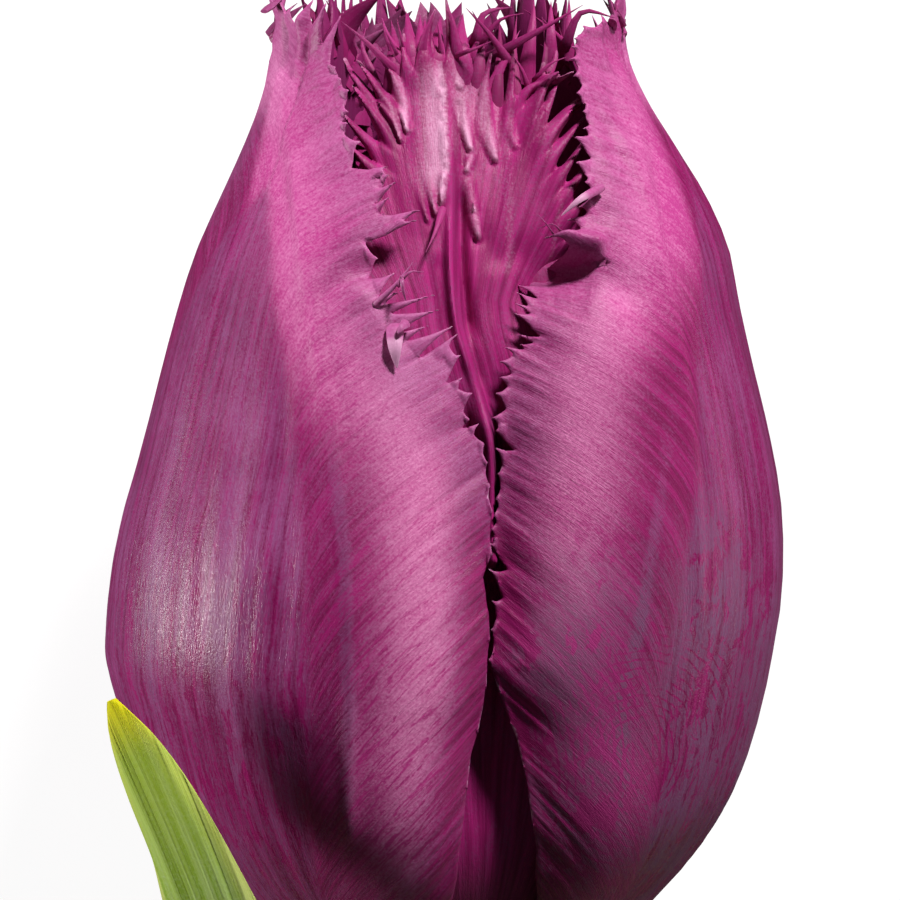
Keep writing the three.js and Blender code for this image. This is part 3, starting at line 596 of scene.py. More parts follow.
def margin_patch(bag, t, root, teeth, closing, inner_side, relief, box, reach=50.0, step=1.72):
    """The band along a margin that faces the camera, cut to its teeth; it lies on the tepal's own sheet."""
    poly = np.vstack([toothed(teeth), closing])
    dense = catmull(root, 5)
    p = np.array([q[:2] for q in teeth], float)
    axes = []
    for i, q in enumerate(teeth):
        if q[2] == "t":
            a = p[i - 1] if i > 0 and teeth[i - 1][2] == "n" else p[min(i + 1, len(p) - 1)]
            b = p[i + 1] if i + 1 < len(p) and teeth[i + 1][2] == "n" else a
            axes.append((*((a + b) / 2), *p[i], q[3], np.hypot(*(a - b)) / 2))
    axes = np.array(axes)

    def field(x, y):
        d, side, s = near_line(x, y, dense)
        within = np.where(side * inner_side > 0, reach - d, 99.0)
        return np.minimum(np.minimum(outline_field(x, y, poly) + 0.45, within), FOOT - y)

    def surface(x, y, f):
        d, side, s = near_line(x, y, dense)
        ins = side * inner_side > 0
        az, run = pick(x, y, 0.0)
        k = (EYE[2] - bloom(az, run, 0.0)[..., 2]) / FOCAL
        away = np.where(ins, d * k, 0.0)
        best, share, lift, wide = np.full(len(x), 1e9), np.zeros(len(x)), np.zeros(len(x)), np.ones(len(x))
        for ax, ay, bx, by, up, w in axes:
            dx, dy = bx - ax, by - ay
            n = max(dx * dx + dy * dy, 1e-6)
            u = ((x - ax) * dx + (y - ay) * dy) / n
            c = np.clip(u, 0, 1)
            e = np.hypot(x - ax - c * dx, y - ay - c * dy)
            closer = e < best
            best, share, lift, wide = np.where(closer, e, best), np.where(closer, c, share), np.where(closer, up, lift), np.where(closer, w, wide)
        out = np.where(ins, np.clip(1 - d / 6.0, 0, 1) * 0.15, 1.0)
        share = share * out
        on = np.clip(1 - (best / np.maximum(wide, 2.0)) ** 2, 0, 1)
        rise = lift * share**1.3 + 0.16 * on * ramp(0.0, 0.35, share) * ramp(1.0, 0.75, share)
        depth = t["depth"] - relief(t, az, run, away, 0 * az, 0 * az) - rise
        depth = depth + np.where(ins, 0.075 * ramp(reach - 30, reach - 2, d), 0) - 0.03 + 0.16 * ramp(FOOT - 34, FOOT - 2, y)
        depth = depth + 0.16 * np.exp(-f / 1.6)
        thick = (0.14 + 0.5 * (1 - np.exp(-f / 6.0))) * (0.55 + 0.45 * ramp(0, 14, np.where(ins, d, 0)))
        cu, cv, fu, fv, zone, dd = veins(t, az, run, False)
        vals = dict(cu=cu, cv=cv, fu=fu, fv=fv, zone=zone, edge=away, film=dd, tone=(run - 10) / 80, tip=np.where(ins, 0, share))
        return bloom(az, run, depth), bloom(az, run, depth + thick), vals

    frame_sheet(bag, box, step, field, surface)


VEIN_SPREAD, VEIN_RISE, BASE_HALF = 0.3, 0.7, 34

_ra, _rr = pick(*np.array(RIDGE_LINE, float).T)
_o = np.argsort(_rr)
RIDGE_RUN, RIDGE_OFF = _rr[_o], (_ra[_o] + 49.5)
FAN = [[-12, 0.018], [-8, 0.0216], [6, 0.030], [28, 0.050], [45, 0.085], [56, 0.12], [80, 0.16]]


def veins(t, az, run, inner):
    """Texture coordinates along the veins: the parallel ones of the middle, and those that fan to the margins."""
    rad = meridian(run)[0]
    off = az - t["centre"]
    lift = np.interp(run, [0, 10] + list(RIDGE_RUN[RIDGE_RUN > 12]), [20, 27] + list(RIDGE_OFF[RIDGE_RUN > 12])) * (0.12 if inner else 1)
    d = (np.abs(off) - lift) * RAD * rad + (0.0 if inner else 3.4)
    dd = np.maximum(d, 0)
    r0 = run - 6.0
    for _ in range(14):
        r0 = 0.5 * r0 + 0.5 * (run - np.sqrt(dd / through(FAN, np.clip(r0, -12, 80))))
    zone = ramp(0.1, 1.5, d)
    return off * 0.4, run, r0 + np.where(off > 0, 40, 0), np.sqrt(dd * dd + (run - r0) ** 2) , zone, d


def inset_line(root, px):
    """A line of the frame moved in from a margin, back on it at both ends."""
    line = catmull(root, 4)
    d = np.gradient(line, axis=0)
    d /= np.linalg.norm(d, axis=1, keepdims=True)
    w = ramp(16, 50, line[:, 1]) * ramp(FOOT + 1, FOOT - 40, line[:, 1])
    return [tuple(q) for q in line + np.stack([-d[:, 1], d[:, 0]], -1) * (px * w)[:, None]]


def tepal(name, node, t, inner=False, roots=(None, None), teeth=(None, None), patched=None, relief=None, rows=58, back=14, slot="outer_tepal", material=None, extra=None, scale=1.0, width=None):
    """roots and teeth are for the high and the low side."""
    cols = []
    for k, side in enumerate(("high", "low")):
        line, run = margin_of(t, roots[k], side)
        sign = 1 if side == "high" else -1
        if teeth[k] == "bare":
            tt = [(q, 0.0, 0.0, 0.0, 0.0) for q in np.arange(1.2, run[-1] - 0.8, 0.8)]
        else:
            tt = grown_teeth(line, run, t["seed"] + k, scale, -0.6 if inner else 0.0)
        c = side_columns(line, run, tt, sign)
        ea, er = np.interp(c[:, 0], run, line[:, 0]), np.interp(c[:, 0], run, line[:, 1])
        m = sign * (1 - c[:, 0] / run[-1])
        cols.append(np.column_stack([m, ea, er, c[:, 1:], np.full(len(c), run[-1]), c[:, 0]]))
    hi, lo = cols
    col = np.vstack([lo, hi[::-1]])
    m, ea, er, dx, dy, lift, tip = col[:, :7].T
    n = len(col)

    start = 1.9 if inner else 0.5

    def vein_point(v):
        """Azimuth and run at a share of each vein."""
        a = 2 * v * (1 - v) * VEIN_SPREAD + v * v
        b = 2 * v * (1 - v) * VEIN_RISE + v * v
        return t["centre"] + (1 - a) * (46 if inner else BASE_HALF) * m + a * (ea - t["centre"]), start + b * (er - start)

    # the smooth sheet ends a little inside the margin, further in where a notch is deep
    rad_e = np.maximum(meridian(er)[0], 6)
    a1, r1_ = vein_point(1.0)
    a0, r0_ = vein_point(0.97)
    vx, vy = (a1 - a0) * RAD * rad_e, r1_ - r0_
    vl = np.maximum(np.hypot(vx, vy), 0.05)
    sink = np.maximum(0, -(dx * vx + dy * vy) / vl)
    sink = np.maximum(sink, np.maximum(np.roll(sink, 1), np.roll(sink, -1)) * 0.8)
    v_in = 1 - np.clip((0.45 + sink) / vl * 0.03, 0.004, 0.2)
    az_c, run_c = ea + dx / (RAD * rad_e), er + dy
    near = int(rows * 0.34)
    main = np.concatenate([np.linspace(0, 0.84, rows - near, endpoint=False), 1 - 0.16 * np.linspace(1, 0, near) ** 1.25])

    def face(main, teeth_rows, inside):
        v = main[:, None] * v_in[None, :]
        az, run = vein_point(v)
        q = np.linspace(0, 1, teeth_rows + 1)[1:, None]
        az = np.vstack([az, az[-1] + (az_c - az[-1]) * q])
        run = np.vstack([run, run[-1] + (run_c - run[-1]) * q])
        away = np.hypot((ea - az[: len(main)]) * RAD * meridian(run[: len(main)])[0], er - run[: len(main)])
        away = np.vstack([away, away[-1] * (1 - q)])
        if patched:
            px, py = seen(bloom(az, run, 0.0))
            dist, side, _ = near_line(px, py, catmull(patched[0], 5))
            facing = ramp(0.0, 0.06, m * patched[2]) * ramp(FOOT + 8, FOOT - 30, py)
            dist = np.where(side * patched[1] > 0, dist, 0) * (EYE[2] - bloom(az, run, 0.0)[..., 2]) / FOCAL
            away = away + (dist - away) * facing
            sunk = 0.30 * facing * ramp(1.9, 1.3, dist) * ramp(14, 40, py) * ramp(FOOT + 1, FOOT - 34, py)
        else:
            sunk = 0.0
        q = np.vstack([np.zeros((len(main), 1)), q])
        v = np.vstack([v, v[-1] + (1 - v[-1]) * q[len(main):]])
        lean = 0.9 * ramp(48, 66, run - 10) if inner else 0.0
        keel = 0.0 if inner else 0.35 * np.exp(-((m / 0.16) ** 2)) * ramp(0.1, 0.5, v) * ramp(1.0, 0.7, v)
        depth = t["depth"] + lean - keel + sunk
        depth = depth - lift * q**1.4 - 0.14 * tip * np.sin(q * math.pi)
        if relief is not None:
            depth = depth - relief(t, az, run, away, v, m)
        thick = 0.26 + 0.58 * ramp(0.0, 7.0, away) + 0.22 * tip * np.sin(np.clip(q, 0, 1) * math.pi) ** 0.7
        thick = thick * (1 - 0.7 * q**2)
        p = bloom(az, run, depth + inside * thick)
        return p, az, run, away, np.broadcast_to(tip * q, az.shape), v

    p, az, run, away, tips, v = face(main, 6, 0.0)
    vb = np.concatenate([np.linspace(0, 0.86, back - 5, endpoint=False), 1 - 0.14 * np.linspace(1, 0, 5) ** 1.35])
    pb, azb, runb, awayb, tipsb, vb2 = face(vb, 3, 1.0)
    bag = Bag()

    def values(az, run, away, tips, v):
        cu, cv, fu, fv, zone, d = veins(t, az, run, inner)
        if inner:
            cu, cv, zone, d = m * 26.0 + 0 * az, run, np.zeros_like(az), np.zeros_like(az)
        return dict(cu=cu, cv=cv, fu=fu, fv=fv, zone=zone, edge=away, film=d, tone=(run - 10) / 80, tip=tips)

    r1, r2 = len(p), len(pb)
    bag.add(p, quads=grid_faces(r1, n), **values(az, run, away, tips, v))
    bag.add(pb, quads=grid_faces(r2, n, flip=True), **values(azb, runb, awayb, tipsb, vb2))
    o, i = lambda r, c: r * n + c, lambda r, c: r1 * n + r * n + c
    c = np.arange(n - 1)
    rim = np.stack([o(r1 - 1, c), o(r1 - 1, c + 1), i(r2 - 1, c + 1), i(r2 - 1, c)], -1)
    foot = np.stack([o(0, c), i(0, c), i(0, c + 1), o(0, c + 1)], -1)
    bag.quads.append(rim)
    bag.quads.append(foot)
    # the two short side edges, up the first and the last column
    for cc, turn in ((0, False), (n - 1, True)):
        share_f, share_b = np.linspace(0, 1, r1), np.linspace(0, 1, r2)
        rb = np.minimum(np.searchsorted(share_b, share_f[:-1], side="right") - 1, r2 - 2)
        tri = np.stack([o(np.arange(r1 - 1), cc), o(np.arange(1, r1), cc), i(rb, cc)], -1)
        step = np.array([[o(min(int(np.searchsorted(share_f, share_b[k + 1])), r1 - 1), cc), i(k + 1, cc), i(k, cc)] for k in range(r2 - 1)])
        tri = np.vstack([tri, step])
        bag.tris.append(tri[:, ::-1] if turn else tri)
    if extra:
        extra(bag, t, dict(m=m, ea=ea, er=er))
    return bag.make(name, node=node, slot=slot, material=material, sharp=62)


def seam_roll(away, drop, width):
    """The margin rolls in over the last few millimetres."""
    return -drop * np.exp(-(away / width) ** 1.5)


def pucker(t, az, run, away, seed, height=0.2):
    """Fine ribs along the veins, strongest near the margins."""
    cu, cv, fu, fv, zone, d = veins(t, az, run, False)
    f = np.clip(through([[0, 0.3], [20, 0.8], [30, 1], [76, 1]], meridian(run)[1]), 0, 1)
    ribs = 1.1 * noise(fu * 0.42, fv * 0.10, seed + 1) + 0.5 * noise(fu * 1.25, fv * 0.14, seed + 3) + 0.22 * noise(fu * 2.7, fv * 0.2, seed + 4)
    fine = noise(fu * 4.1, fv * 0.25, seed + 2)
    near = np.exp(-((away / 3.4) ** 2)) * ramp(-0.3, 1.0, away) + 0.16 * np.exp(-((away / 9) ** 2))
    return zone * f * (height * ribs * near + 0.014 * fine * np.exp(-((away / 9) ** 2)))


def swells(t, az, run, seed, height=0.22):
    """Slow undulations and the soft lengthwise facets of the middle."""
    cu, cv, fu, fv, zone, d = veins(t, az, run, False)
    mid = 1 - 0.75 * zone
    a = noise(cu * 0.42, cv * 0.02, seed) * 0.8 + noise(cu * 0.95, cv * 0.03, seed + 1) * 0.35
    return height * mid * a * ramp(2, 14, run) + 0.25 * noise(az * 0.05, run * 0.09, seed + 2) * ramp(4, 20, run)


def generic_relief(t, az, run, away, v, m):
    s = t["seed"]
    high = ramp(40, 66, run)
    out = swells(t, az, run, s) + pucker(t, az, run, away, s + 5)
    out = out + seam_roll(away, 0.45 * (1 - high), 1.8)
    # the margins ruffle towards the mouth
    out = out + high * 0.55 * noise((m * 11), v * 3, s + 9) * ramp(7, 1, away)
    return out


def on_camera_side(az):
    return ramp(-92, -78, az) * ramp(102, 90, az)


def left_relief(t, az, run, away, v, m):
    out = 0.7 * swells(t, az, run, 11) + pucker(t, az, run, away, 16, 0.20)
    front = on_camera_side(az)
    x, y = seen(bloom(az, run, 0.0))
    out = out + front * (
        0.34 * bell(x, y, RIDGE_LINE, 9, 0.06)
        - 0.30 * bell(x, y, [(289, 18), (290, 90), (287, 170), (276, 250)], 11, 0.2)
        - 0.22 * bell(x, y, [(250, 240), (226, 360), (209, 480), (203, 600), (206, 690)], 7, 0.25)
        - 0.06 * bell(x, y, [(262, 300), (243, 420), (232, 540), (230, 660)], 6, 0.25)
        - 0.20 * bell(x, y, [(288, 270), (282, 400), (281, 540), (292, 690)], 9, 0.25)
        + 0.11 * bell(x, y, [(226, 380), (216, 500), (214, 640)], 7, 0.3)
        - 0.14 * bell(x, y, [(190, 420), (172, 540), (168, 650)], 7, 0.3)
        + 0.5 * np.exp(-(((x - 415) / 45) ** 2 + ((y - 395) / 60) ** 2))
        - 0.9 * np.exp(-(((x - 372) / 26) ** 2 + ((y - 268) / 17) ** 2))
    )
    roll = through([[0, 0.5], [8, 0.9], [20, 1.8], [34, 1.6], [41, 0.8], [48, 0.3], [76, 0.1]], meridian(run)[1])
    inside = ramp(20, -10, az)
    seam = np.where(az > t["centre"], 1, 0)
    out = out + seam * seam_roll(away, roll, 2.3) + (1 - seam) * seam_roll(away, 0.45, 1.8)
    top = ramp(56, 70, meridian(run)[1])
    return out + top * 0.4 * noise(az * 0.22, run * 0.16, 19) * ramp(6, 1, away)


def hollow(x, y):
    """The pocket under the lip of the right tepal: a steep upper side and a slow lower one."""
    d, side, s = near_line(x, y, [(536, 246), (556, 245), (574, 248), (590, 253), (606, 257), (622, 266), (640, 280)])
    low = side < 0
    return 4.8 * np.where(low, ramp(0, 3.5, d) * np.exp(-((np.maximum(d - 6, 0) / 30) ** 1.6)), 0) * ramp(0.78, 0.26, s) + 0.6 * np.exp(-(((x - 622) / 34) ** 2 + ((y - 284) / 20) ** 2))


def right_relief(t, az, run, away, v, m):
    out = 0.7 * swells(t, az, run, 23) + pucker(t, az, run, away, 26, 0.20)
    front = on_camera_side(az)
    x, y = seen(bloom(az, run, 0.0))
    out = out + front * (
        0.22 * bell(x, y, [(628, 90), (652, 210), (680, 330), (700, 520), (702, 660)], 8, 0.1)
        - 0.22 * bell(x, y, [(642, 120), (668, 240), (700, 380), (722, 520)], 9, 0.2)
        + 0.45 * np.exp(-(((x - 588) / 46) ** 2 + ((y - 362) / 60) ** 2))
        - hollow(x, y)
        - 0.3 * bell(x, y, [(618, 286), (640, 310), (654, 344)], 18, 0.3)
        + 1.3 * bell(x, y, [(540, 238), (560, 237), (580, 241), (610, 251)], 10, 0.3)
        + 0.35 * noise(x * 0.05, y * 0.06, 33) * bell(x, y, [(548, 238), (590, 244), (612, 254)], 22, 0.3)
        - 0.25 * bell(x, y, [(604, 40), (612, 90), (620, 150)], 8, 0.3)
    )
    roll = through([[0, 0.6], [8, 1.4], [18, 2.2], [24, 2.5], [36, 2.4], [41, 1.8], [46, 0.8], [52, 0.3], [76, 0.1]], meridian(run)[1])
    width = through([[0, 2.2], [20, 3.2], [36, 3.1], [43, 2.3], [76, 1.6]], meridian(run)[1])
    seam = np.where(az < t["centre"], 1, 0)
    out = out + seam * seam_roll(away, roll, width) + (1 - seam) * seam_roll(away, 0.45, 1.8)
    top = ramp(56, 70, meridian(run)[1])
    return out + top * 0.4 * noise(az * 0.22, run * 0.16, 29) * ramp(6, 1, away)


def front_relief(t, az, run, away, v, m):
    h = meridian(run)[1]
    off = (az - SEAM) * RAD * meridian(run)[0]
    # it stays clear of the rolled-in margins over it
    out = -3.8 * np.exp(-((off / 7) ** 2)) * ramp(4, 18, h) * ramp(50, 38, h)
    return out - 0.5 * ramp(52, 40, h) - 1.5 * ramp(34, 40, h) + 0.12 * noise(az * 0.16, run * 0.3, 46)


# The crest of the front inner tepal as it shows between the outer two: its outline, the fingers of its
# pleats (base, bend, tip, width at the base, lift of the tip), and the fleshy lobes that stand on it.
CREST_BODY = [
    (322, 360), (318, 220), (336, 182), (356, 166), (372, 146), (382, 122), (388, 92), (392, 70), (404, 56), (416, 50), (430, 48), (442, 54), (452, 46), (466, 46),
    (474, 62), (480, 76), (488, 84), (497, 88), (501, 100), (508, 103), (514, 96), (522, 100), (530, 112), (538, 124), (543, 140), (552, 160), (566, 178), (582, 200), (602, 226), (614, 262), (614, 350),
    (560, 400), (528, 450), (512, 520), (510, 566), (478, 566), (474, 520), (460, 470), (430, 420), (380, 380),
]
FINGERS = [
    ((408, 156), (368, 98), (336, 56), 13, 0.8), ((416, 146), (386, 102), (357, 60), 12, 0.9), ((398, 172), (368, 142), (342, 113), 12, 0.8), ((396, 190), (370, 166), (352, 148), 11, 0.6), ((396, 160), (374, 118), (350, 84), 10, 0.4),
    ((396, 104), (392, 76), (378, 58), 8, 0.5), ((426, 100), (424, 44), (435, 10), 15, 1.0), ((410, 92), (402, 52), (401, 34), 12, 0.2), ((457, 84), (452, 36), (446, 0), 12, 0.5),
    ((502, 160), (512, 98), (516, 50), 11, 0.6), ((486, 130), (486, 84), (493, 51), 10, 0.6), ((510, 118), (530, 88), (560, 80), 8, 1.8), ((523, 150), (541, 98), (545, 62), 11, 0.7),
    ((522, 160), (548, 108), (561, 74), 11, 0.7), ((524, 174), (556, 124), (577, 100), 11, 0.8), ((532, 186), (562, 144), (584, 117), 10, 0.7), ((538, 204), (566, 168), (582, 142), 10, 0.6), ((546, 222), (576, 182), (597, 154), 10, 0.4),
    ((550, 238), (582, 206), (604, 180), 11, 0.2), ((556, 256), (590, 230), (610, 208), 11, 0.1), ((530, 164), (560, 124), (590, 96), 11, 0.5), ((516, 136), (538, 96), (556, 62), 10, 0.5),
]
# base, bend, tip, half width at the base and at the tip, height at the base and near the tip, paleness (partly the
# lobe's own colour, partly painted highlight)
LOBES = [
    ((448, 46), (454, 62), (460, 82), 8.0, 5.5, 0.04, 0.26, 0.7), ((452, 70), (461, 108), (470, 148), 16.0, 3.8, 0.03, 0.55, 0.95), ((478, 96), (487, 128), (495, 158), 19.0, 4.6, 0.03, 0.62, 0.75),
    ((464, 168), (472, 204), (478, 236), 13.0, 4.6, 0.04, 0.78, 0.6), ((476, 146), (470, 160), (467, 171), 7.0, 3.4, 0.05, 0.5, 0.7), ((394, 70), (402, 104), (407, 130), 10.0, 3.6, 0.03, 0.5, 0.95),
    ((384, 90), (395, 118), (401, 140), 8.0, 2.8, 0.03, 0.4, 0.6), ((506, 120), (512, 132), (516, 146), 9.0, 3.4, 0.03, 0.25, 0.35), ((444, 170), (443, 190), (442, 205), 6.0, 2.6, 0.05, 0.4, 0.85),
    ((428, 174), (432, 198), (436, 215), 7.0, 2.8, 0.05, 0.42, 0.6), ((474, 205), (474, 208), (474, 212), 2.6, 2.2, 0.2, 0.4, 0.9), ((416, 184), (423, 204), (428, 221), 6.0, 2.4, 0.04, 0.28, 0.4),
]


def tapered(x, y, line, w0, w1):
    """Signed distance to a tapering stroke of the frame, and the share along it."""
    d, side, s = near_line(x, y, catmull(line, 6))
    w = w0 + (w1 - w0) * s
    return w - d, s, d / np.maximum(w, 0.5)


def crest_sheet(bag, t):
    body = np.array(CREST_BODY, float)

    def field(x, y):
        f = outline_field(x, y, catmull(body, 3)[:-1])
        for base, bend, tip, w, lift in FINGERS:
            d, s, q = tapered(x, y, (base, bend, tip), w * 0.98, 1.3)
            f = np.maximum(f, d) + 2.2 * np.exp(-np.abs(f - d) / 2.2) * ramp(-6, 0, np.maximum(f, d))
        return f - 0.35

    def spread(y):
        return 1 + 0.008 * np.maximum(300 - y, 0)

    def surface(x, y, f):
        middle = through([[0, 441], [228, 448], [270, 450], [320, 454], [360, 464], [420, 480], [480, 490], [900, 490]], y)
        cu, cv = (x - middle) / 13.9 / spread(y), -y / 13.9
        az, run = pick(x, y, 1.95)
        h = meridian(run)[1]
        off = (az - SEAM) * RAD * meridian(run)[0]
        out = -3.6 * np.exp(-((off / 7) ** 2)) * ramp(4, 18, h) * ramp(50, 38, h) - 0.5 * ramp(52, 40, h) - 0.9 * ramp(62, 72, h)
        # it dips under the outer margins and under the two pockets
        out = out - 4.4 * np.exp(-(((x - 592) / 56) ** 2 + ((y - 286) / 46) ** 2)) - 0.5 * np.exp(-(((x - 370) / 36) ** 2 + ((y - 264) / 26) ** 2))
        out = out - 0.8 * ramp(352, 330, x) - 0.8 * ramp(560, 604, x) * ramp(120, 200, y)
        fade = ramp(520, 380, y)
        pleat = noise(cu * 1.15, y * 0.004, 43) * 0.8 + noise(cu * 2.4, y * 0.006, 44) * 0.45 + noise(cu * 5.2, y * 0.010, 45) * 0.16
        out = out + pleat * (0.025 + 0.24 * ramp(280, 140, y)) * (0.2 + 0.8 * fade) + 0.10 * noise(x * 0.035, y * 0.03, 48)
        # pale makes the crest paler: partly its own paler tissue, partly painted highlight on the fingers, the lobes
        # and the flap's crisp edge
        pale = np.zeros_like(x)
        for base, bend, tip, w, lift in FINGERS:
            d, s, q = tapered(x, y, (base, bend, tip), w * 1.12, 1.6)
            r = np.clip(1 - q * q, 0, 1) ** 0.75
            up = np.where(d > 0, 1, 0)
            out = out + up * (0.42 * r * ramp(0.0, 0.5, s) + 0.7 * lift * s**1.6 * ramp(0.0, 0.6, r))
            # the fingers' crests and tips are painted paler, partly as painted highlight
            pale = np.maximum(pale, up * r * ramp(0.1, 0.6, s) * 0.25 + up * ramp(0.82, 1.0, s) * 0.3)
        # the midrib and the groove beside it
        rib = [(447, 62), (450, 110), (453, 160), (453, 205), (450, 235), (450, 270), (452, 300), (458, 335), (466, 360), (477, 390), (485, 425), (491, 470), (494, 520), (496, 560)]
        out = out + through([[0, 0.30], [200, 0.36], [260, 0.75], [600, 0.75]], y) * np.exp(-((near_line(x, y, catmull(rib, 5))[0] / through([[0, 4.2], [200, 4.4], [260, 5.0], [520, 5.5]], y)) ** 2))
        out = out + 2.7 * np.exp(-((near_line(x, y, catmull(rib, 5))[0] / 12.0) ** 3)) * ramp(370, 450, y)
        out = out - 1.25 * bell(x, y, [(458, 170), (460, 200), (461, 235), (463, 275), (467, 310), (474, 350)], 6.5, 0.2)
        out = out - 0.30 * bell(x, y, [(457, 96), (459, 130), (461, 170)], 4.0, 0.1) - 0.35 * bell(x, y, [(468, 330), (476, 380), (486, 430)], 6, 0.2)
        out = out + 0.30 * bell(x, y, [(497, 250), (494, 300), (492, 350), (491, 400)], 9, 0.2) - 0.30 * bell(x, y, [(436, 250), (440, 300), (448, 345)], 7, 0.2)
        # the flap stands up along the midrib and ends on a crisp edge
        d, side, s = near_line(x, y, [(439, 40), (441, 62), (443, 90), (445, 130), (447, 170), (443, 198), (436, 218), (428, 232)])
        left = side < 0
        plateau = np.where(left, np.exp(-((d / 30) ** 2)), np.exp(-((d / 11.0) ** 2))) * ramp(30, 62, y) * ramp(240, 190, y)
        out = out + 0.72 * plateau
        crisp = np.where(left, np.exp(-((d / 6.5) ** 2)), np.exp(-((d / 4.0) ** 2))) * ramp(66, 92, y) * ramp(222, 196, y)
        out = out + crisp * (0.20 + 0.10 * noise(x * 0.16, y * 0.16, 47) + 0.04 * noise(x * 0.4, y * 0.4, 57))
        # the flap's crisp edge is painted pale: partly its own colour, partly painted highlight
        pale = np.maximum(pale, crisp * (0.75 + 0.35 * noise(x * 0.4, y * 0.4, 58)))
        pale = np.maximum(pale, (0.66 + 0.2 * noise(x * 0.09, y * 0.03, 61)) * np.where(left, np.exp(-((d / 30) ** 2)), np.exp(-((d / 2.5) ** 2))) * ramp(40, 80, y) * ramp(225, 170, y))
        pale = np.maximum(pale, (0.36 + 0.3 * noise(x * 0.16, y * 0.02, 62)) * np.exp(-(((x - 476) / 34) ** 2 + ((y - 112) / 62) ** 2)))
        pale = np.maximum(pale, (0.10 + 0.22 * noise(x * 0.10, y * 0.015, 63)) * ramp(330, 250, y) * ramp(452, 470, x))
        for base, bend, tip, w0, w1, h0, h1, white in LOBES:
            d, s, q = tapered(x, y, (base, bend, tip), w0, w1)
            r = np.clip(1 - q * q, 0, 1) ** (1.0 + 0.7 * (1 - s))
            up = np.where(d > 0, r, 0)
            out = out + 0.78 * up * (h0 + (h1 - h0) * s**1.2) * (1 + 0.14 * noise(x * 0.3, y * 0.3, 59))
            # the lobes are painted paler towards their tips: partly their own colour, partly painted highlight
            pale = np.maximum(pale, up**0.6 * white * (0.34 + 0.60 * s**1.2))
            out = out - 0.12 * np.exp(-((np.clip(-d, 0, 99) / 6) ** 2)) * (d <= 0) * ramp(0.3, 1.0, s)
        out = out - 0.28 * bell(x, y, [(486, 240), (498, 258), (520, 250)], 14)
        depth = 1.95 - out + 0.20 * np.exp(-f / 1.6)
        thick = 0.16 + 0.55 * (1 - np.exp(-f / 7.0))
        vals = dict(cu=cu * 1.6, cv=cv, fu=cu, fv=cv, zone=0.0, edge=9.0, film=np.clip(pale, 0, 1), tone=0.42 + 0.0 * x, tip=0.0)
        return bloom(az, run, depth), bloom(az, run, depth + thick), vals

    frame_sheet(bag, (314, 616, -8, 566), 1.85, field, surface)


# ---- separate spikes of the fringe -----------------------------------------------------------------
def out_of(az):
    """The direction straight out of the bloom at an azimuth."""
    a = az * RAD
    return math.sin(a) * ACROSS + math.cos(a) * UPWARD


def spike(bag, path, width, thick=None, face=(0, 0, 1), tone=0.5, pale=0.25, **kw):
    kw = dict(dict(swell=0.0, rooted=0.03, point=1.05), **kw)
    p, q, tr, u = blade(path, width, thick or width * 0.45, face, **kw)
    across = np.tile(np.abs(np.arange(8) / 4 - 1), len(p) // 8)
    bag.add(p, quads=q, tris=tr, cu=across * width * 0.5 + len(bag.pts), cv=u * 4, fu=across * width * 0.5 + len(bag.pts), fv=u * 4, zone=0.5, edge=8.0, film=0.0, tone=tone, tip=pale * (0.3 + 0.7 * u) + 0.4 * (u > 0.97))


def seen_spike(bag, base, tip, width, up=(0.0, 1.0), via=None, arch=0.5, depth=0.0, level=None, thick=None, root=(0.35, 0.35), **kw):
    """A spike by where its base and tip show. up is how far base and tip stand above the tepal; level fixes the height instead."""
    a, r = pick(np.array([base[0], tip[0]]), np.array([base[1], tip[1]]), depth)
    z = bloom(a, r, depth)[..., 2]
    zb = z[0] + up[0]
    zt = z[1] + up[1] if level is None else zb + level
    mid = via or ((base[0] + tip[0]) / 2, (base[1] + tip[1]) / 2)
    start = (base[0] + (base[0] - mid[0]) * root[0], base[1] + (base[1] - mid[1]) * root[0])
    path = [at(*start, zb - root[1]), at(*base, zb + 0.1), at(*mid, (zb + zt) / 2 + arch), at(*tip, zt)]
    spike(bag, path, width, thick=thick or width * 0.55, **kw)


def mouth_fringe(bag, t, c, seed, count, depth, spread=1.0, length=(2.0, 4.2), inward=0.0, above=56, width=(0.9, 1.9), tone=(0.3, 0.6), only=0):
    """Loose spikes that stand on the margin round the mouth."""
    rng = np.random.default_rng(seed)
    high = np.where((meridian(c["er"])[1] > above) & (c["m"] * only >= 0))[0]
    if not len(high):
        return
    pos = np.linspace(0, len(high) - 1, count)
    for k in range(count):
        i = high[int(np.clip(pos[k] + rng.uniform(-6, 6), 0, len(high) - 1))]
        az, run = c["ea"][i], c["er"][i] - rng.uniform(0.2, 1.2)
        d0 = depth + rng.uniform(-0.1, 0.4)
        p = bloom(az, run, d0)
        n = out_of(az)
        side = np.cross(n, ALONG)
        h = float(meridian(run)[1])
        size = rng.uniform(*length) * (0.7 + 0.3 * float(ramp(58, 70, h)))
        go = ALONG * rng.uniform(0.55, 1.1) + side * rng.normal(0, 0.55) * spread + n * (rng.normal(-0.12, 0.38) * spread - inward)
        go = go / np.linalg.norm(go)
        bend = n * rng.normal(-0.1, 0.35) + side * rng.normal(0, 0.35)
        path = [p - go * 1.3 - n * 0.15, p + go * size * 0.35 + bend * size * 0.10, p + go * size * 0.7 + bend * size * 0.28, p + go * size + bend * size * 0.5]
        spike(bag, path, rng.uniform(*width), thick=rng.uniform(0.3, 0.45), face=n * rng.normal(1, 0.3) + side * rng.normal(0, 0.4), tone=rng.uniform(*tone), pale=0.12)


# ---- materials ------------------------------------------------------------------------------------
def srgb(r, g, b):
    f = lambda c: c / 255 / 12.92 if c / 255 <= 0.04045 else ((c / 255 + 0.055) / 1.055) ** 2.4
    return (f(r), f(g), f(b), 1.0)


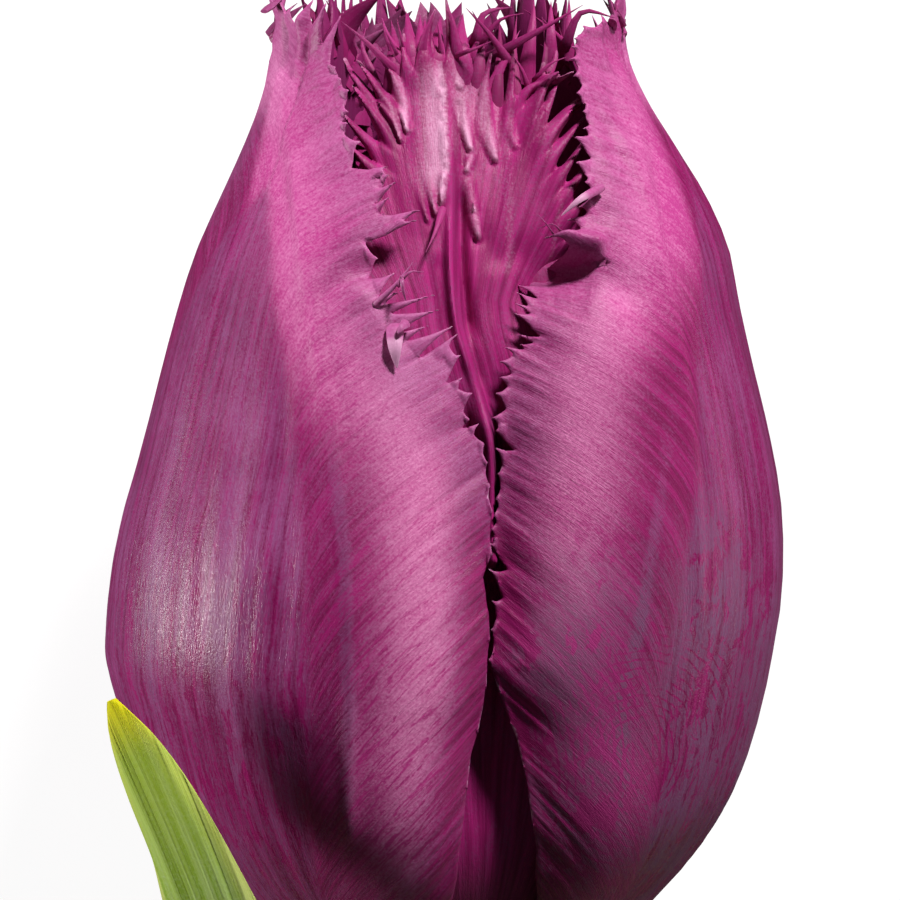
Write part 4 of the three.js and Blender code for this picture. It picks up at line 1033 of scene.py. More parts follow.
class Nodes:
    def __init__(self, name):
        self.mat = bpy.data.materials.new(name)
        self.mat.use_nodes = True
        self.t = self.mat.node_tree
        self.t.nodes.clear()
        self.out = self.t.nodes.new("ShaderNodeOutputMaterial")

    def new(self, kind, **props):
        n = self.t.nodes.new("ShaderNode" + kind)
        for k, v in props.items():
            setattr(n, k, v)
        return n

    def put(self, socket, value):
        if hasattr(value, "is_output") or isinstance(value, bpy.types.NodeSocket):
            self.t.links.new(value, socket)
        elif value is not None:
            socket.default_value = value

    def attr(self, name):
        return self.new("Attribute", attribute_name=name, attribute_type="GEOMETRY").outputs["Fac"]

    def uv(self, name):
        return self.new("UVMap", uv_map=name).outputs["UV"]

    def coords(self):
        return self.new("TexCoord").outputs["Object"]

    def scaled(self, vec, x, y, z=1.0, move=(0, 0, 0)):
        n = self.new("Mapping")
        self.put(n.inputs["Vector"], vec)
        n.inputs["Scale"].default_value = (x, y, z)
        n.inputs["Location"].default_value = move
        return n.outputs["Vector"]

    def noise(self, vec, scale=1.0, detail=2.0, rough=0.5, distort=0.0, lac=2.0):
        n = self.new("TexNoise", noise_dimensions="3D")
        self.put(n.inputs["Vector"], vec)
        n.inputs["Scale"].default_value = scale
        n.inputs["Detail"].default_value = detail
        n.inputs["Roughness"].default_value = rough
        n.inputs["Distortion"].default_value = distort
        n.inputs["Lacunarity"].default_value = lac
        return n.outputs["Fac"]

    def cells(self, vec, scale, feature="F1", out="Distance"):
        n = self.new("TexVoronoi", feature=feature)
        self.put(n.inputs["Vector"], vec)
        n.inputs["Scale"].default_value = scale
        return n.outputs[out]

    def math(self, op, a, b=0.0, clamp=False):
        n = self.new("Math", operation=op, use_clamp=clamp)
        self.put(n.inputs[0], a)
        if len(n.inputs) > 1:
            self.put(n.inputs[1], b)
        return n.outputs[0]

    def map(self, x, a, b, c=0.0, d=1.0, smooth=True):
        n = self.new("MapRange", interpolation_type="SMOOTHSTEP" if smooth else "LINEAR", clamp=True)
        self.put(n.inputs["Value"], x)
        for k, v in (("From Min", a), ("From Max", b), ("To Min", c), ("To Max", d)):
            self.put(n.inputs[k], v)
        return n.outputs["Result"]

    def mix(self, fac, a, b, blend="MIX"):
        n = self.new("Mix", data_type="RGBA", blend_type=blend)
        n.clamp_factor = True
        self.put(n.inputs[0], fac)
        self.put(n.inputs[6], a)
        self.put(n.inputs[7], b)
        return n.outputs[2]

    def blend(self, fac, a, b):
        n = self.new("Mix", data_type="FLOAT")
        self.put(n.inputs[0], fac)
        self.put(n.inputs[2], a)
        self.put(n.inputs[3], b)
        return n.outputs[0]

    def bump(self, height, strength, distance, normal=None):
        n = self.new("Bump")
        self.put(n.inputs["Height"], height)
        n.inputs["Strength"].default_value = strength
        n.inputs["Distance"].default_value = distance
        if normal is not None:
            self.put(n.inputs["Normal"], normal)
        return n.outputs["Normal"]

    def principled(self, **values):
        n = self.new("BsdfPrincipled")
        for k, v in values.items():
            self.put(n.inputs[k.replace("_", " ")], v)
        self.t.links.new(n.outputs[0], self.out.inputs["Surface"])
        return self.mat


def tepal_material(name, seed, film_level=0.5, pink=1.0, dark=1.0, inner=False, prints=0.0, tips=1.0):
    k = Nodes(name)
    central, fan, zone = k.uv("central"), k.uv("fan"), k.attr("zone")
    edge, tip, tone, beyond = k.attr("edge"), k.attr("tip"), k.attr("tone"), k.attr("film")
    obj = k.coords()

    def both(u, v, scale=1.0, detail=3.0, rough=0.55, move=0.0, distort=0.0):
        """Noise stretched along the veins, in the two vein patterns, blended between them."""
        a = k.noise(k.scaled(central, u, v, 1, (seed + move, move, seed)), scale, detail, rough, distort)
        b = k.noise(k.scaled(fan, u, v, 1, (seed + move, move + 7, seed)), scale, detail, rough, distort)
        return k.blend(zone, a, b)

    hair = both(5.6, 0.22, detail=2, rough=0.6)          # striations of about 0.2 mm
    thread = both(2.3, 0.07, detail=2, move=13.0)        # veins of about 0.5 mm
    band = both(0.6, 0.035, detail=2, move=29.0)         # broad bands
    mottle = both(4.6, 1.15, detail=3, rough=0.7, move=57.0, distort=0.4)
    cloud = k.noise(k.scaled(obj, 150, 150, 150, (seed, 0, 0)), 1.0, 3, 0.6)
    grain = k.noise(k.scaled(obj, 5200, 5200, 5200), 1.0, 2, 0.6)
    speck = k.noise(k.scaled(obj, 9000, 9000, 9000), 1.0, 1, 0.5)

    # 1 on the swell that runs along the margin, less on the margin itself
    near = k.math("MULTIPLY", k.map(edge, 10.5, 5.0), k.map(edge, 0.8, 4.4, 0.0, 1.0))
    near = k.math("MULTIPLY", near, k.map(zone, 0.0, 1.0, 0.2, 1.0))
    near = k.math("MULTIPLY", near, k.map(tone, 0.10, 0.32, 0.35, 1.0))
    mouth = k.map(tone, 0.35, 0.78)                      # 1 towards the mouth
    foot = k.map(tone, 0.12, -0.06)

    under = k.mix(k.map(thread, 0.35, 0.7), *((srgb(144, 20, 92), srgb(180, 34, 120)) if inner else (srgb(122, 12, 76), srgb(156, 22, 102))))
    under = k.mix(k.math("MULTIPLY", near, 0.75 * pink), under, srgb(196, 66, 142))
    under = k.mix(k.math("MULTIPLY", k.math("MULTIPLY", mouth, 0.5 * pink), k.math("MULTIPLY", zone, k.map(edge, 9.5, 4.5))), under, srgb(190, 66, 142))
    wax = k.mix(k.map(cloud, 0.35, 0.65), srgb(124, 60, 108), srgb(146, 74, 126))
    wax = k.mix(k.math("MULTIPLY", near, 0.85 * pink), wax, srgb(240, 150, 198))
    wax = k.mix(k.math("MULTIPLY", k.math("MULTIPLY", mouth, 0.65), k.math("MULTIPLY", k.map(zone, 0.0, 1.0, 0.04, 1.0), k.map(edge, 9.5, 4.5, 0.12, 1.0))), wax, srgb(226, 130, 188))

    # how much of the waxy film is there
    calm = k.map(zone, 0.0, 1.0, 1.0, 0.45)
    film = k.math("ADD", k.math("MULTIPLY", k.math("MULTIPLY", k.math("SUBTRACT", hair, 0.5), calm), 0.6 if inner else 1.0), film_level)
    film = k.math("ADD", film, k.math("MULTIPLY", k.math("MULTIPLY", k.math("SUBTRACT", thread, 0.5), calm), 0.6))
    film = k.math("ADD", film, k.math("MULTIPLY", k.math("MULTIPLY", k.math("SUBTRACT", band, 0.5), calm), 0.45 if inner else 1.3))
    film = k.math("ADD", film, k.math("MULTIPLY", k.math("SUBTRACT", mottle, 0.5), 0.5 if inner else 1.1))
    film = k.math("ADD", film, k.math("MULTIPLY", k.math("SUBTRACT", cloud, 0.5), 0.5))
    film = k.math("ADD", film, k.math("MULTIPLY", k.math("SUBTRACT", grain, 0.5), 1.3))
    if not inner:
        # thinnest just inside the edge of the middle, where the fanned veins begin, thicker again on the swell
        thin = k.math("MULTIPLY", k.map(beyond, 0.2, 1.2), k.map(beyond, 8.5, 3.5))
        film = k.math("SUBTRACT", film, k.math("MULTIPLY", thin, 0.34))
        film = k.math("ADD", film, k.math("MULTIPLY", near, 0.10))
        film = k.math("SUBTRACT", film, k.math("MULTIPLY", k.map(edge, 3.4, 0.8), k.map(tone, 0.52, 0.40, 0.0, 0.34)))
        # a pale crease on the edge of the middle
        crease = k.math("MULTIPLY", k.map(k.math("ABSOLUTE", k.math("SUBTRACT", beyond, 3.5)), 0.72, 0.20), k.map(tone, 0.16, 0.26))
        film = k.math("ADD", film, k.math("MULTIPLY", k.math("MULTIPLY", crease, k.map(tone, 0.60, 0.42)), 0.46))
    # rubbed places, drawn out along the veins
    rub = both(1.5, 0.30, detail=3, rough=0.72, move=41.0, distort=0.5)
    rub = k.math("MULTIPLY", k.map(rub, 0.52, 0.60), k.map(tone, 0.60, 0.22))
    film = k.math("SUBTRACT", film, k.math("MULTIPLY", rub, 0.55))
    if prints:
        # where the film was touched: broken arcs about 0.6 mm apart, and rubbed blots
        def spot(x, y, z, r0, r1):
            far = k.new("VectorMath", operation="DISTANCE")
            k.put(far.inputs[0], obj)
            far.inputs[1].default_value = (x, y, z)
            return far.outputs["Value"], k.map(k.math("ADD", far.outputs["Value"], k.math("MULTIPLY", k.math("SUBTRACT", cloud, 0.5), 0.012)), r0, r1)

        warp = k.noise(k.scaled(obj, 190, 90, 190, (3.3, 1.7, 0)), 1.0, 3.0, 0.5)
        patchy = k.noise(k.scaled(obj, 520, 260, 520, (8, 1, 4)), 1.0, 3.0, 0.65)
        _, broad = spot(0.0225, 0.1075, 0.040, 0.0200, 0.0110)
        wax = k.mix(k.math("MULTIPLY", broad, 0.85), wax, srgb(120, 72, 108))
        film = k.math("ADD", film, k.math("MULTIPLY", broad, 0.38))
        for x, y, z, r0, r1, cx, cy in ((0.0215, 0.1090, 0.041, 0.0075, 0.0050, 0.0203, 0.1068), (0.0168, 0.1085, 0.043, 0.0062, 0.0038, 0.0035, 0.1060), (0.0168, 0.1025, 0.043, 0.0062, 0.0038, 0.0300, 0.1150)):
            _, here = spot(x, y, z, r0, r1)
            far, _ = spot(cx, cy, 0.044, 1, 2)
            lines = k.math("SINE", k.math("ADD", k.math("MULTIPLY", far, 9800.0), k.math("MULTIPLY", warp, 22.0)))
            lines = k.math("MULTIPLY", k.map(lines, 0.62, 0.90), k.map(patchy, 0.41, 0.52))
            film = k.math("SUBTRACT", film, k.math("MULTIPLY", k.math("MULTIPLY", lines, here), prints))
        ragged = k.noise(k.scaled(obj, 820, 430, 820, (5, 8, 1)), 1.0, 4, 0.72, 0.9)
        cluster = k.noise(k.scaled(obj, 260, 170, 260, (2, 9, 5)), 1.0, 2, 0.5)
        blot = k.map(k.math("ADD", ragged, k.math("MULTIPLY", k.math("SUBTRACT", cluster, 0.5), 0.9)), 0.55, 0.62)
        film = k.math("SUBTRACT", film, k.math("MULTIPLY", k.math("MULTIPLY", blot, broad), 0.85))
    film = k.math("MAXIMUM", k.math("MINIMUM", film, 1.0), 0.0)
    color = k.mix(film, under, wax)
    # darker threads, pale tips of the teeth, a greener foot, and painted shade towards the base
    dark_thread = k.math("MULTIPLY", k.map(thread, 0.42, 0.30), k.map(tone, 0.5, 0.75, 0.35, 0.12))
    color = k.mix(k.math("MULTIPLY", dark_thread, k.map(zone, 0.0, 1.0, 1.0, 0.4)), color, srgb(112, 16, 74))
    color = k.mix(k.math("MULTIPLY", tip, 0.35 * tips), color, srgb(206, 112, 172))
    color = k.mix(k.math("MULTIPLY", k.map(tip, 0.85, 1.0), 0.4 * tips), color, srgb(240, 196, 222))
    if tips < 1:
        color = k.mix(k.map(tone, 0.66, 0.84), color, srgb(150, 40, 108))
    color = k.mix(k.math("MULTIPLY", foot, 0.70), color, srgb(164, 98, 126))
    # painted shade: the colour darkens where tone is low, towards the base of the tepals; spikes given a low tone are
    # darkened the same way
    color = k.mix(k.math("MULTIPLY", k.map(tone, 0.22, -0.04), 0.7), color, k.mix(1.0, color, (0.36, 0.25, 0.30, 1), "MULTIPLY"))
    # on the inner tepals the film attribute carries the crest's paleness, drawn in this pale pink: partly pale tissue,
    # partly painted highlight
    if inner:
        color = k.mix(k.math("MULTIPLY", k.map(k.math("ADD", beyond, k.math("MULTIPLY", k.math("SUBTRACT", grain, 0.5), 0.5)), 0.12, 1.0), 0.85), color, srgb(240, 176, 212))
    if dark != 1.0:
        color = k.mix(1.0, color, (dark, dark * 0.9, dark * 0.96, 1), "MULTIPLY")

    relief = k.math("ADD", k.math("MULTIPLY", hair, 0.8), k.math("MULTIPLY", thread, 0.7))
    normal = k.bump(relief, 0.35, 0.00008)
    spark = both(13.0, 1.5, detail=1, rough=0.7, move=77.0)
    normal = k.bump(k.math("ADD", k.math("ADD", k.math("MULTIPLY", grain, 0.45), k.math("MULTIPLY", spark, 1.2)), k.math("MULTIPLY", speck, 0.35)), 0.5, 0.000055, normal)
    low = 0.50 if inner else 0.31
    rough = k.math("ADD", k.math("ADD", k.math("MULTIPLY", zone, 0.0 if inner else 0.12), k.map(tone, 0.16, -0.02, 0.0, 0.34)), k.math("ADD", k.map(film, 0.0, 1.0, low, low + 0.12), k.math("MULTIPLY", k.math("SUBTRACT", speck, 0.5), 0.35)))
    return k.principled(
        Base_Color=color, Roughness=rough, Normal=normal, IOR=1.42,
        Specular_IOR_Level=0.3 if inner else 0.36, Sheen_Weight=0.04, Sheen_Roughness=0.4, Sheen_Tint=srgb(226, 170, 216),
    )


def leaf_material(name):
    k = Nodes(name)
    c, edge, tip = k.uv("central"), k.attr("edge"), k.attr("tip")
    obj = k.coords()
    vein = k.noise(k.scaled(c, 1.5, 0.012), 1.0, 3, 0.6)
    fine = k.noise(k.scaled(c, 6.5, 0.05, 1, (4, 0, 0)), 1.0, 2, 0.6)
    cloud = k.noise(k.scaled(obj, 110, 60, 110), 1.0, 3, 0.6)
    grain = k.noise(k.scaled(obj, 4200, 4200, 4200), 1.0, 2, 0.6)
    bloomy = k.math("ADD", k.math("MULTIPLY", vein, 0.9), k.math("ADD", k.math("MULTIPLY", cloud, 0.5), k.math("MULTIPLY", fine, 0.35)))
    color = k.mix(k.map(bloomy, 0.72, 1.02), srgb(126, 156, 44), srgb(156, 180, 104))
    color = k.mix(k.math("MULTIPLY", k.map(vein, 0.5, 0.28), 0.6), color, srgb(98, 136, 46))
    color = k.mix(k.math("MULTIPLY", k.map(grain, 0.4, 0.7), 0.25), color, srgb(178, 200, 150))
    color = k.mix(k.math("MULTIPLY", k.map(edge, 1.3, 0.1), 0.55), color, srgb(206, 204, 120))
    color = k.mix(k.math("MULTIPLY", k.map(tip, 0.84, 0.99), 0.6), color, srgb(176, 196, 58))
    color = k.mix(k.map(tip, 0.965, 1.0), color, srgb(214, 206, 14))
    color = k.mix(k.math("MULTIPLY", k.map(tip, 0.10, 0.0), 0.7), color, srgb(196, 206, 160))
    normal = k.bump(k.math("ADD", k.math("MULTIPLY", vein, 1.0), k.math("MULTIPLY", fine, 0.35)), 0.7, 0.00035)
    normal = k.bump(grain, 0.35, 0.00006, normal)
    return k.principled(
        Base_Color=color, Roughness=k.map(grain, 0.3, 0.7, 0.54, 0.68), Normal=normal, Specular_IOR_Level=0.22, IOR=1.35,
        Subsurface_Weight=0.06, Subsurface_Radius=(0.5, 1.0, 0.25), Subsurface_Scale=0.0006,
    )


def stem_material():
    k = Nodes("stem_green")
    c, tip = k.uv("central"), k.attr("tip")
    obj = k.coords()
    fibre = k.noise(k.scaled(c, 2.6, 0.02), 1.0, 3, 0.6)
    grain = k.noise(k.scaled(obj, 3600, 3600, 3600), 1.0, 2, 0.6)
    cloud = k.noise(k.scaled(obj, 90, 40, 90), 1.0, 3, 0.6)
    color = k.mix(k.map(fibre, 0.35, 0.65), srgb(112, 142, 66), srgb(150, 176, 104))
    color = k.mix(k.math("MULTIPLY", k.map(cloud, 0.4, 0.65), 0.5), color, srgb(138, 160, 112))
    color = k.mix(k.math("MULTIPLY", k.map(tip, 0.86, 1.0), 0.7), color, srgb(122, 84, 84))
    color = k.mix(k.math("MULTIPLY", k.map(grain, 0.45, 0.7), 0.3), color, srgb(176, 194, 142))
    color = k.mix(k.attr("edge"), color, k.mix(k.map(k.cells(obj, 900), 0.1, 0.5), srgb(206, 216, 160), srgb(170, 190, 116)))
    normal = k.bump(fibre, 0.6, 0.00025)
    normal = k.bump(grain, 0.35, 0.00006, normal)
    return k.principled(
        Base_Color=color, Roughness=k.map(grain, 0.3, 0.7, 0.54, 0.68), Normal=normal, Specular_IOR_Level=0.22, IOR=1.35,
        Subsurface_Weight=0.06, Subsurface_Radius=(0.5, 1.0, 0.25), Subsurface_Scale=0.0008,
    )


def plain_material(name, low, high, scale, rough, height=0.0001, sub=0.0, streak=None):
    k = Nodes(name)
    obj = k.coords()
    a = k.noise(k.scaled(obj, scale, scale, scale), 1.0, 3, 0.6)
    b = k.noise(k.scaled(obj, 4000, 4000, 4000), 1.0, 2, 0.6)
    if streak:
        a = k.noise(k.scaled(k.uv("central"), *streak), 1.0, 3, 0.6)
    color = k.mix(k.map(k.math("ADD", k.math("MULTIPLY", a, 0.7), k.math("MULTIPLY", b, 0.3)), 0.36, 0.64), srgb(*low), srgb(*high))
    normal = k.bump(k.math("ADD", a, k.math("MULTIPLY", b, 0.5)), 0.6, height)
    return k.principled(Base_Color=color, Roughness=k.map(b, 0.3, 0.7, rough - 0.08, rough + 0.08), Normal=normal, Subsurface_Weight=sub, Subsurface_Scale=0.0008, Subsurface_Radius=(0.8, 0.8, 0.4))


mat_left = tepal_material("tepal_left", 1.0, 0.50)
mat_right = tepal_material("tepal_right", 5.0, 0.36, prints=1.15)
mat_under = tepal_material("tepal_under", 9.0, 0.50, dark=0.9, prints=0.3, tips=0.3)
mat_front = tepal_material("tepal_inner_front", 14.0, 0.10, pink=0.6, inner=True)
mat_inner = tepal_material("tepal_inner", 21.0, 0.10, pink=0.6, dark=0.85, inner=True, tips=0.4)
mat_leaf = leaf_material("leaf_green")
mat_stem = stem_material()
mat_pistil = plain_material("pistil_green", (142, 158, 92), (186, 192, 128), 900, 0.45, sub=0.2, streak=(3.0, 0.3))
mat_filament = plain_material("filament_pale", (196, 180, 150), (226, 214, 178), 900, 0.5, sub=0.15, streak=(4.0, 0.2))
mat_anther = plain_material("anther_dark", (38, 18, 34), (92, 62, 84), 2600, 0.85, height=0.00025)


# ---- the six tepals --------------------------------------------------------------------------------
def left_extra(bag, t, c):
    margin_patch(bag, t, LEFT_ROOT, LEFT_TEETH, [(300, 980), (200, 600), (240, 200), (262, 60), (259, 22)], -1, left_relief, (252, 502, -6, FOOT + 4))
    mouth_fringe(bag, t, c, 101, 20, 0.3, 0.8, (1.4, 2.8), 0.2, above=60, only=-1)
    for base, via, tip, width, up, kw in (
        ((374, 306), (398, 282), (413, 262), 0.72, (-0.3, 1.5), dict(rings=16, pale=0.5, tone=0.7, root=(0.3, 1.0))),
        ((399, 284), (401, 276), (403, 282), 0.26, (1.1, 1.9), dict(rings=10, arch=0.2)),
        ((402, 281), (403, 290), (406, 301), 0.30, (1.8, 1.5), dict(rings=12, arch=0.2, point=0.5)),
        ((401, 281), (410, 272), (424, 272), 0.30, (1.0, 1.3), dict(rings=12)),
        ((395, 331), (395, 348), (397, 368), 1.15, (0.45, 0.55), dict(rings=16, arch=0.45, point=0.6, swell=0.3, thick=0.5, pale=1.6, tone=0.78)),
        ((405, 324), (401, 328), (398, 334), 0.8, (0.8, 1.4), dict(rings=10, arch=0.3, point=0.5, pale=0.6, tone=0.75)),
    ):
        seen_spike(bag, base, tip, width, up, via, **kw)


def right_extra(bag, t, c):
    margin_patch(bag, t, RIGHT_ROOT, RIGHT_TEETH, [(700, 980), (800, 600), (690, 200), (640, 60), (630, 24)], 1, right_relief, (484, 668, -6, FOOT + 4))
    mouth_fringe(bag, t, c, 103, 20, 0.3, 0.8, (1.4, 2.8), 0.2, above=60, only=1)
    for base, via, tip, width, up, kw in (
        ((597, 190), (579, 200), (561, 216), 0.62, (0.7, 1.3), dict(rings=16, arch=0.7, point=0.6, swell=0.2, pale=1.5, tone=0.78)),
        ((552, 232), (545, 222), (537, 214), 0.12, (0.6, 1.0), {}),
        ((560, 230), (552, 224), (540, 228), 0.16, (0.5, 1.0), dict(arch=0.8)),
        ((612, 22), (616, 14), (623, 20), 0.7, (0.2, 0.6), dict(arch=0.3)),
    ):
        seen_spike(bag, base, tip, width, up, via, **kw)


def front_extra(bag, t, c):
    crest_sheet(bag, t)
    d = 2.6
    # long thorns of the crest: base, bend, tip, width in mm, height of the tip against the base, tone
    for base, via, tip, width, level, tone in (
        ((458, 58), (453, 26), (445, -1), 1.75, 0.5, 0.5), ((421, 62), (425, 36), (435, 10), 1.5, 0.9, 0.5), ((441, 56), (440, 38), (437, 20), 1.0, 0.5, 0.7), ((454, 56), (474, 49), (492, 41), 0.9, 1.9, 0.6),
        ((508, 60), (486, 30), (466, 8), 1.15, 1.9, 0.5), ((476, 40), (484, 14), (513, 7), 1.4, 0.3, 0.4), ((480, 44), (500, 20), (524, 13), 1.0, 1.1, 0.5), ((530, 44), (533, 20), (534, -2), 1.5, -1.6, 0.4),
        ((551, 34), (551, 16), (551, 1), 1.1, -2.0, 0.4), ((569, 30), (569, 12), (569, -2), 0.9, -2.2, 0.4), ((504, 50), (540, 30), (583, 5), 1.1, 1.6, 0.5), ((572, 50), (556, 34), (541, 17), 1.15, 1.3, 0.55),
        ((566, 44), (582, 12), (616, 18), 1.3, 1.3, 0.5), ((396, 72), (366, 42), (341, 21), 1.2, 0.8, 0.5), ((398, 56), (390, 40), (382, 24), 0.7, 0.6, 0.6), ((404, 50), (400, 34), (397, 18), 0.6, 0.4, 0.4),
        ((399, 56), (388, 38), (382, 18), 1.5, -2.6, 0.4), ((410, 50), (408, 30), (406, 11), 1.7, -2.4, 0.45), ((420, 48), (420, 32), (420, 14), 1.4, -2.6, 0.45), ((372, 72), (362, 46), (366, 28), 1.0, -1.6, 0.4),
        ((528, 88), (522, 70), (512, 54), 0.9, 0.7, 0.5), ((536, 78), (550, 64), (567, 57), 0.7, 0.3, 0.6), ((470, 60), (478, 40), (481, 26), 1.3, -0.4, 0.4), ((500, 70), (512, 46), (520, 30), 1.2, -1.0, 0.35),
        ((412, 58), (409, 34), (408, 13), 2.3, -3.2, 0.3), ((436, 56), (438, 34), (441, 15), 2.1, -3.2, 0.3), ((461, 52), (461, 32), (463, 13), 2.1, -3.4, 0.3),
        ((479, 66), (481, 38), (480, 15), 1.5, -3.0, 0.1), ((498, 84), (500, 44), (499, 17), 1.4, -3.0, 0.1), ((516, 92), (514, 48), (517, 14), 1.5, -3.0, 0.1), ((394, 62), (394, 40), (391, 20), 1.8, -3.0, 0.2),
        ((538, 100), (546, 50), (542, 17), 1.4, -3.0, 0.1), ((425, 60), (424, 40), (425, 18), 1.8, -3.4, 0.2),
        ((548, 76), (556, 56), (553, 38), 1.2, -1.2, 0.35), ((584, 70), (580, 50), (586, 30), 1.1, -1.0, 0.4), ((430, 52), (430, 36), (428, 20), 1.2, -1.4, 0.4),
    ):
        seen_spike(bag, base, tip, width, (0.0, 0), via, arch=0.25, depth=d, level=level, rings=12, thick=width * 0.3, tone=tone, pale=0.1, root=(0.9, 2.4) if level > -0.9 else (1.7, 0.1))
    seen_spike(bag, (441, 214), (426, 252), 0.6, (0.9, 1.7), (435, 232), arch=0.3, depth=1.9, rings=14, pale=0.5)


tepal("petal_outer_left", "outer_tepal_left", OUTER["left"], roots=(inset_line(LEFT_ROOT, 17), None), teeth=("bare", None), patched=(LEFT_ROOT, -1, 1), relief=left_relief, rows=46, material=mat_left, extra=left_extra)
tepal("petal_outer_right", "outer_tepal_right", OUTER["right"], roots=(None, inset_line(RIGHT_ROOT, -17)), teeth=(None, "bare"), patched=(RIGHT_ROOT, 1, -1), relief=right_relief, rows=46, material=mat_right, extra=right_extra)
def raised(t, mm):
    """The same tepal with its crest a little higher, for the fringe that grows out of it."""
    up = lambda h: h + mm * float(ramp(56, 70, h))
    return dict(t, tip=[t["tip"][0], up(t["tip"][1])], high=[[a, up(h)] for a, h in t["high"]], low=[[a, up(h)] for a, h in t["low"]])


tepal("petal_outer_under", "outer_tepal_under", raised(OUTER["under"], 0.4), relief=generic_relief, rows=30, material=mat_under,
      extra=lambda b, t, c: mouth_fringe(b, t, c, 107, 60, 0.3, 0.8, (2.0, 3.4), 0.1, width=(1.9, 3.3)))
lowered = dict(INNER["front"], tip=[6, 58.5])
for side in ("high", "low"):
    lowered[side] = [[a, h if h < 50 else 50 + (h - 50) * 0.42] for a, h in lowered[side]]
tepal("petal_inner_front", "inner_tepal_front", lowered, inner=True, relief=front_relief, scale=0.3, rows=28, slot="inner_tepal", material=mat_front,
      extra=front_extra)
tepal("petal_inner_lower_right", "inner_tepal_lower_right", raised(INNER["lower_right"], 0.3), inner=True, relief=generic_relief, rows=30, slot="inner_tepal", material=mat_inner,
      extra=lambda b, t, c: mouth_fringe(b, t, c, 113, 64, 2.3, 0.9, (2.2, 3.9), 0.0, width=(1.9, 3.4)))
tepal("petal_inner_lower_left", "inner_tepal_lower_left", raised(INNER["lower_left"], 0.3), inner=True, relief=generic_relief, rows=30, slot="inner_tepal", material=mat_inner,
      extra=lambda b, t, c: mouth_fringe(b, t, c, 127, 64, 2.3, 0.9, (2.2, 3.9), 0.0, width=(1.9, 3.4)))


# ---- stamens and pistil ------------------------------------------------------------------------------
def around_axis(radius, az, h):
    a = az * RAD
    return BASE + h * ALONG + radius * math.sin(a) * ACROSS + radius * math.cos(a) * UPWARD


def limb(bag, path, radii, sides, section=None, reference=(1, 0, 0), rings=None, **vals):
    """A body of round section: radii are (share, radius), and section(angle, share) shapes it."""
    pts, run = centripetal(path)
    table = np.asarray(radii, float)
    share = table[:, 0] if rings is None else np.unique(np.concatenate([table[:, 0], np.linspace(0, 1, rings)]))
    rad = np.interp(share, table[:, 0], table[:, 1]) if rings is None else through(table, share)
    p, t = along_line(pts, run, share * run[-1])
    ref = np.asarray(reference, float)
    e1 = ref - (t @ ref)[:, None] * t
    e1 /= np.linalg.norm(e1, axis=1, keepdims=True)
    e2 = np.cross(t, e1)
    a = np.arange(sides) / sides * 2 * math.pi
    A, S = np.meshgrid(a, share)
    r = rad[:, None] * (section(A, S) if section else 1)
    ring = p[:, None] + (r * np.cos(A))[..., None] * e1[:, None] + (r * np.sin(A))[..., None] * e2[:, None]
    n = len(share)
    ends = np.vstack([p[0], p[-1]])
    quads = grid_faces(n, sides, around=True)
    k = np.arange(sides)
    kn = (k + 1) % sides
    tris = np.vstack([
        np.stack([np.full(sides, n * sides), kn, k], -1),
        np.stack([np.full(sides, n * sides + 1), (n - 1) * sides + k, (n - 1) * sides + kn], -1),
    ])
    cu = np.concatenate([(A * rad.max()).ravel(), [0, 0]])
    cv = np.concatenate([(S * run[-1]).ravel(), [0, run[-1]]])
    tip = np.concatenate([S.ravel(), [0, 1]])
    bag.add(np.vstack([ring.reshape(-1, 3), ends]), quads=quads, tris=tris, cu=cu, cv=cv, tip=tip, **vals)


for number in range(6):
    az, foot, ring = SEAM + 60 * number + 4, 4.6, 6.2
    top = foot + 9.5
    bag = Bag()
    limb(bag, [around_axis(ring - 0.6, az, foot), around_axis(ring + 0.2, az, (foot + top) / 2), around_axis(ring + 0.3, az, top)],
         [[0, 0.86], [0.25, 0.95], [0.6, 0.76], [0.9, 0.43], [1, 0.2]], 20, lambda a, s: 1 + 0.07 * np.cos(3 * a) + 0.03 * np.cos(7 * a), rings=26)
    bag.make(f"stamen_filament_{number + 1}", node=f"filament_{number + 1}", slot="filament", material=mat_filament)
    bag = Bag()
    wob = 0.05

    def lobes(a, s, q=number):
        # four pollen sacs with a groove down each side and a grainy skin
        return 1 - 0.20 * np.cos(4 * a) - 0.10 * np.exp(-((np.cos(a)) ** 2) * 30) + 0.045 * noise(a * 3.3, s * 34, 60 + q) + 0.03 * noise(a * 7, s * 80, 70 + q)

    limb(bag, [around_axis(ring + 0.3, az, top + 0.3), around_axis(ring + 0.5, az, top + 6.25), around_axis(ring + 0.1, az, top + 12.8)],
         [[0, 0.45], [0.06, 0.95], [0.2, 1.32], [0.6, 1.34], [0.88, 1.08], [0.97, 0.62], [1, 0.15]], 40, lobes, rings=54)
    bag.make(f"stamen_anther_{number + 1}", node=f"anther_{number + 1}", slot="anther", material=mat_anther)

bag = Bag()


def pistil_section(a, s):
    top = ramp(0.86, 0.93, s)
    lobe = (0.06 + 0.3 * top) * np.cos(3 * a)
    frill = top * 0.06 * np.sin(12 * a + 40 * s) * ramp(0.9, 0.95, s)
    groove = -0.035 * np.exp(-((np.cos(1.5 * a)) ** 2) * 40) * (1 - top)
    return 1 + lobe + frill + groove + 0.008 * noise(a * 5, s * 60, 91)


limb(bag, [around_axis(0, 0, 2.9), around_axis(0, 0, 12.4), around_axis(0, 0, 25.1)],
     [[0, 2.15], [0.07, 2.75], [0.3, 3.1], [0.6, 3.0], [0.78, 2.6], [0.855, 2.3], [0.9, 3.0], [0.94, 3.77], [0.975, 3.6], [1, 2.6]], 96, pistil_section, rings=110)
bag.make("pistil_body", node="pistil", slot="pistil", material=mat_pistil)

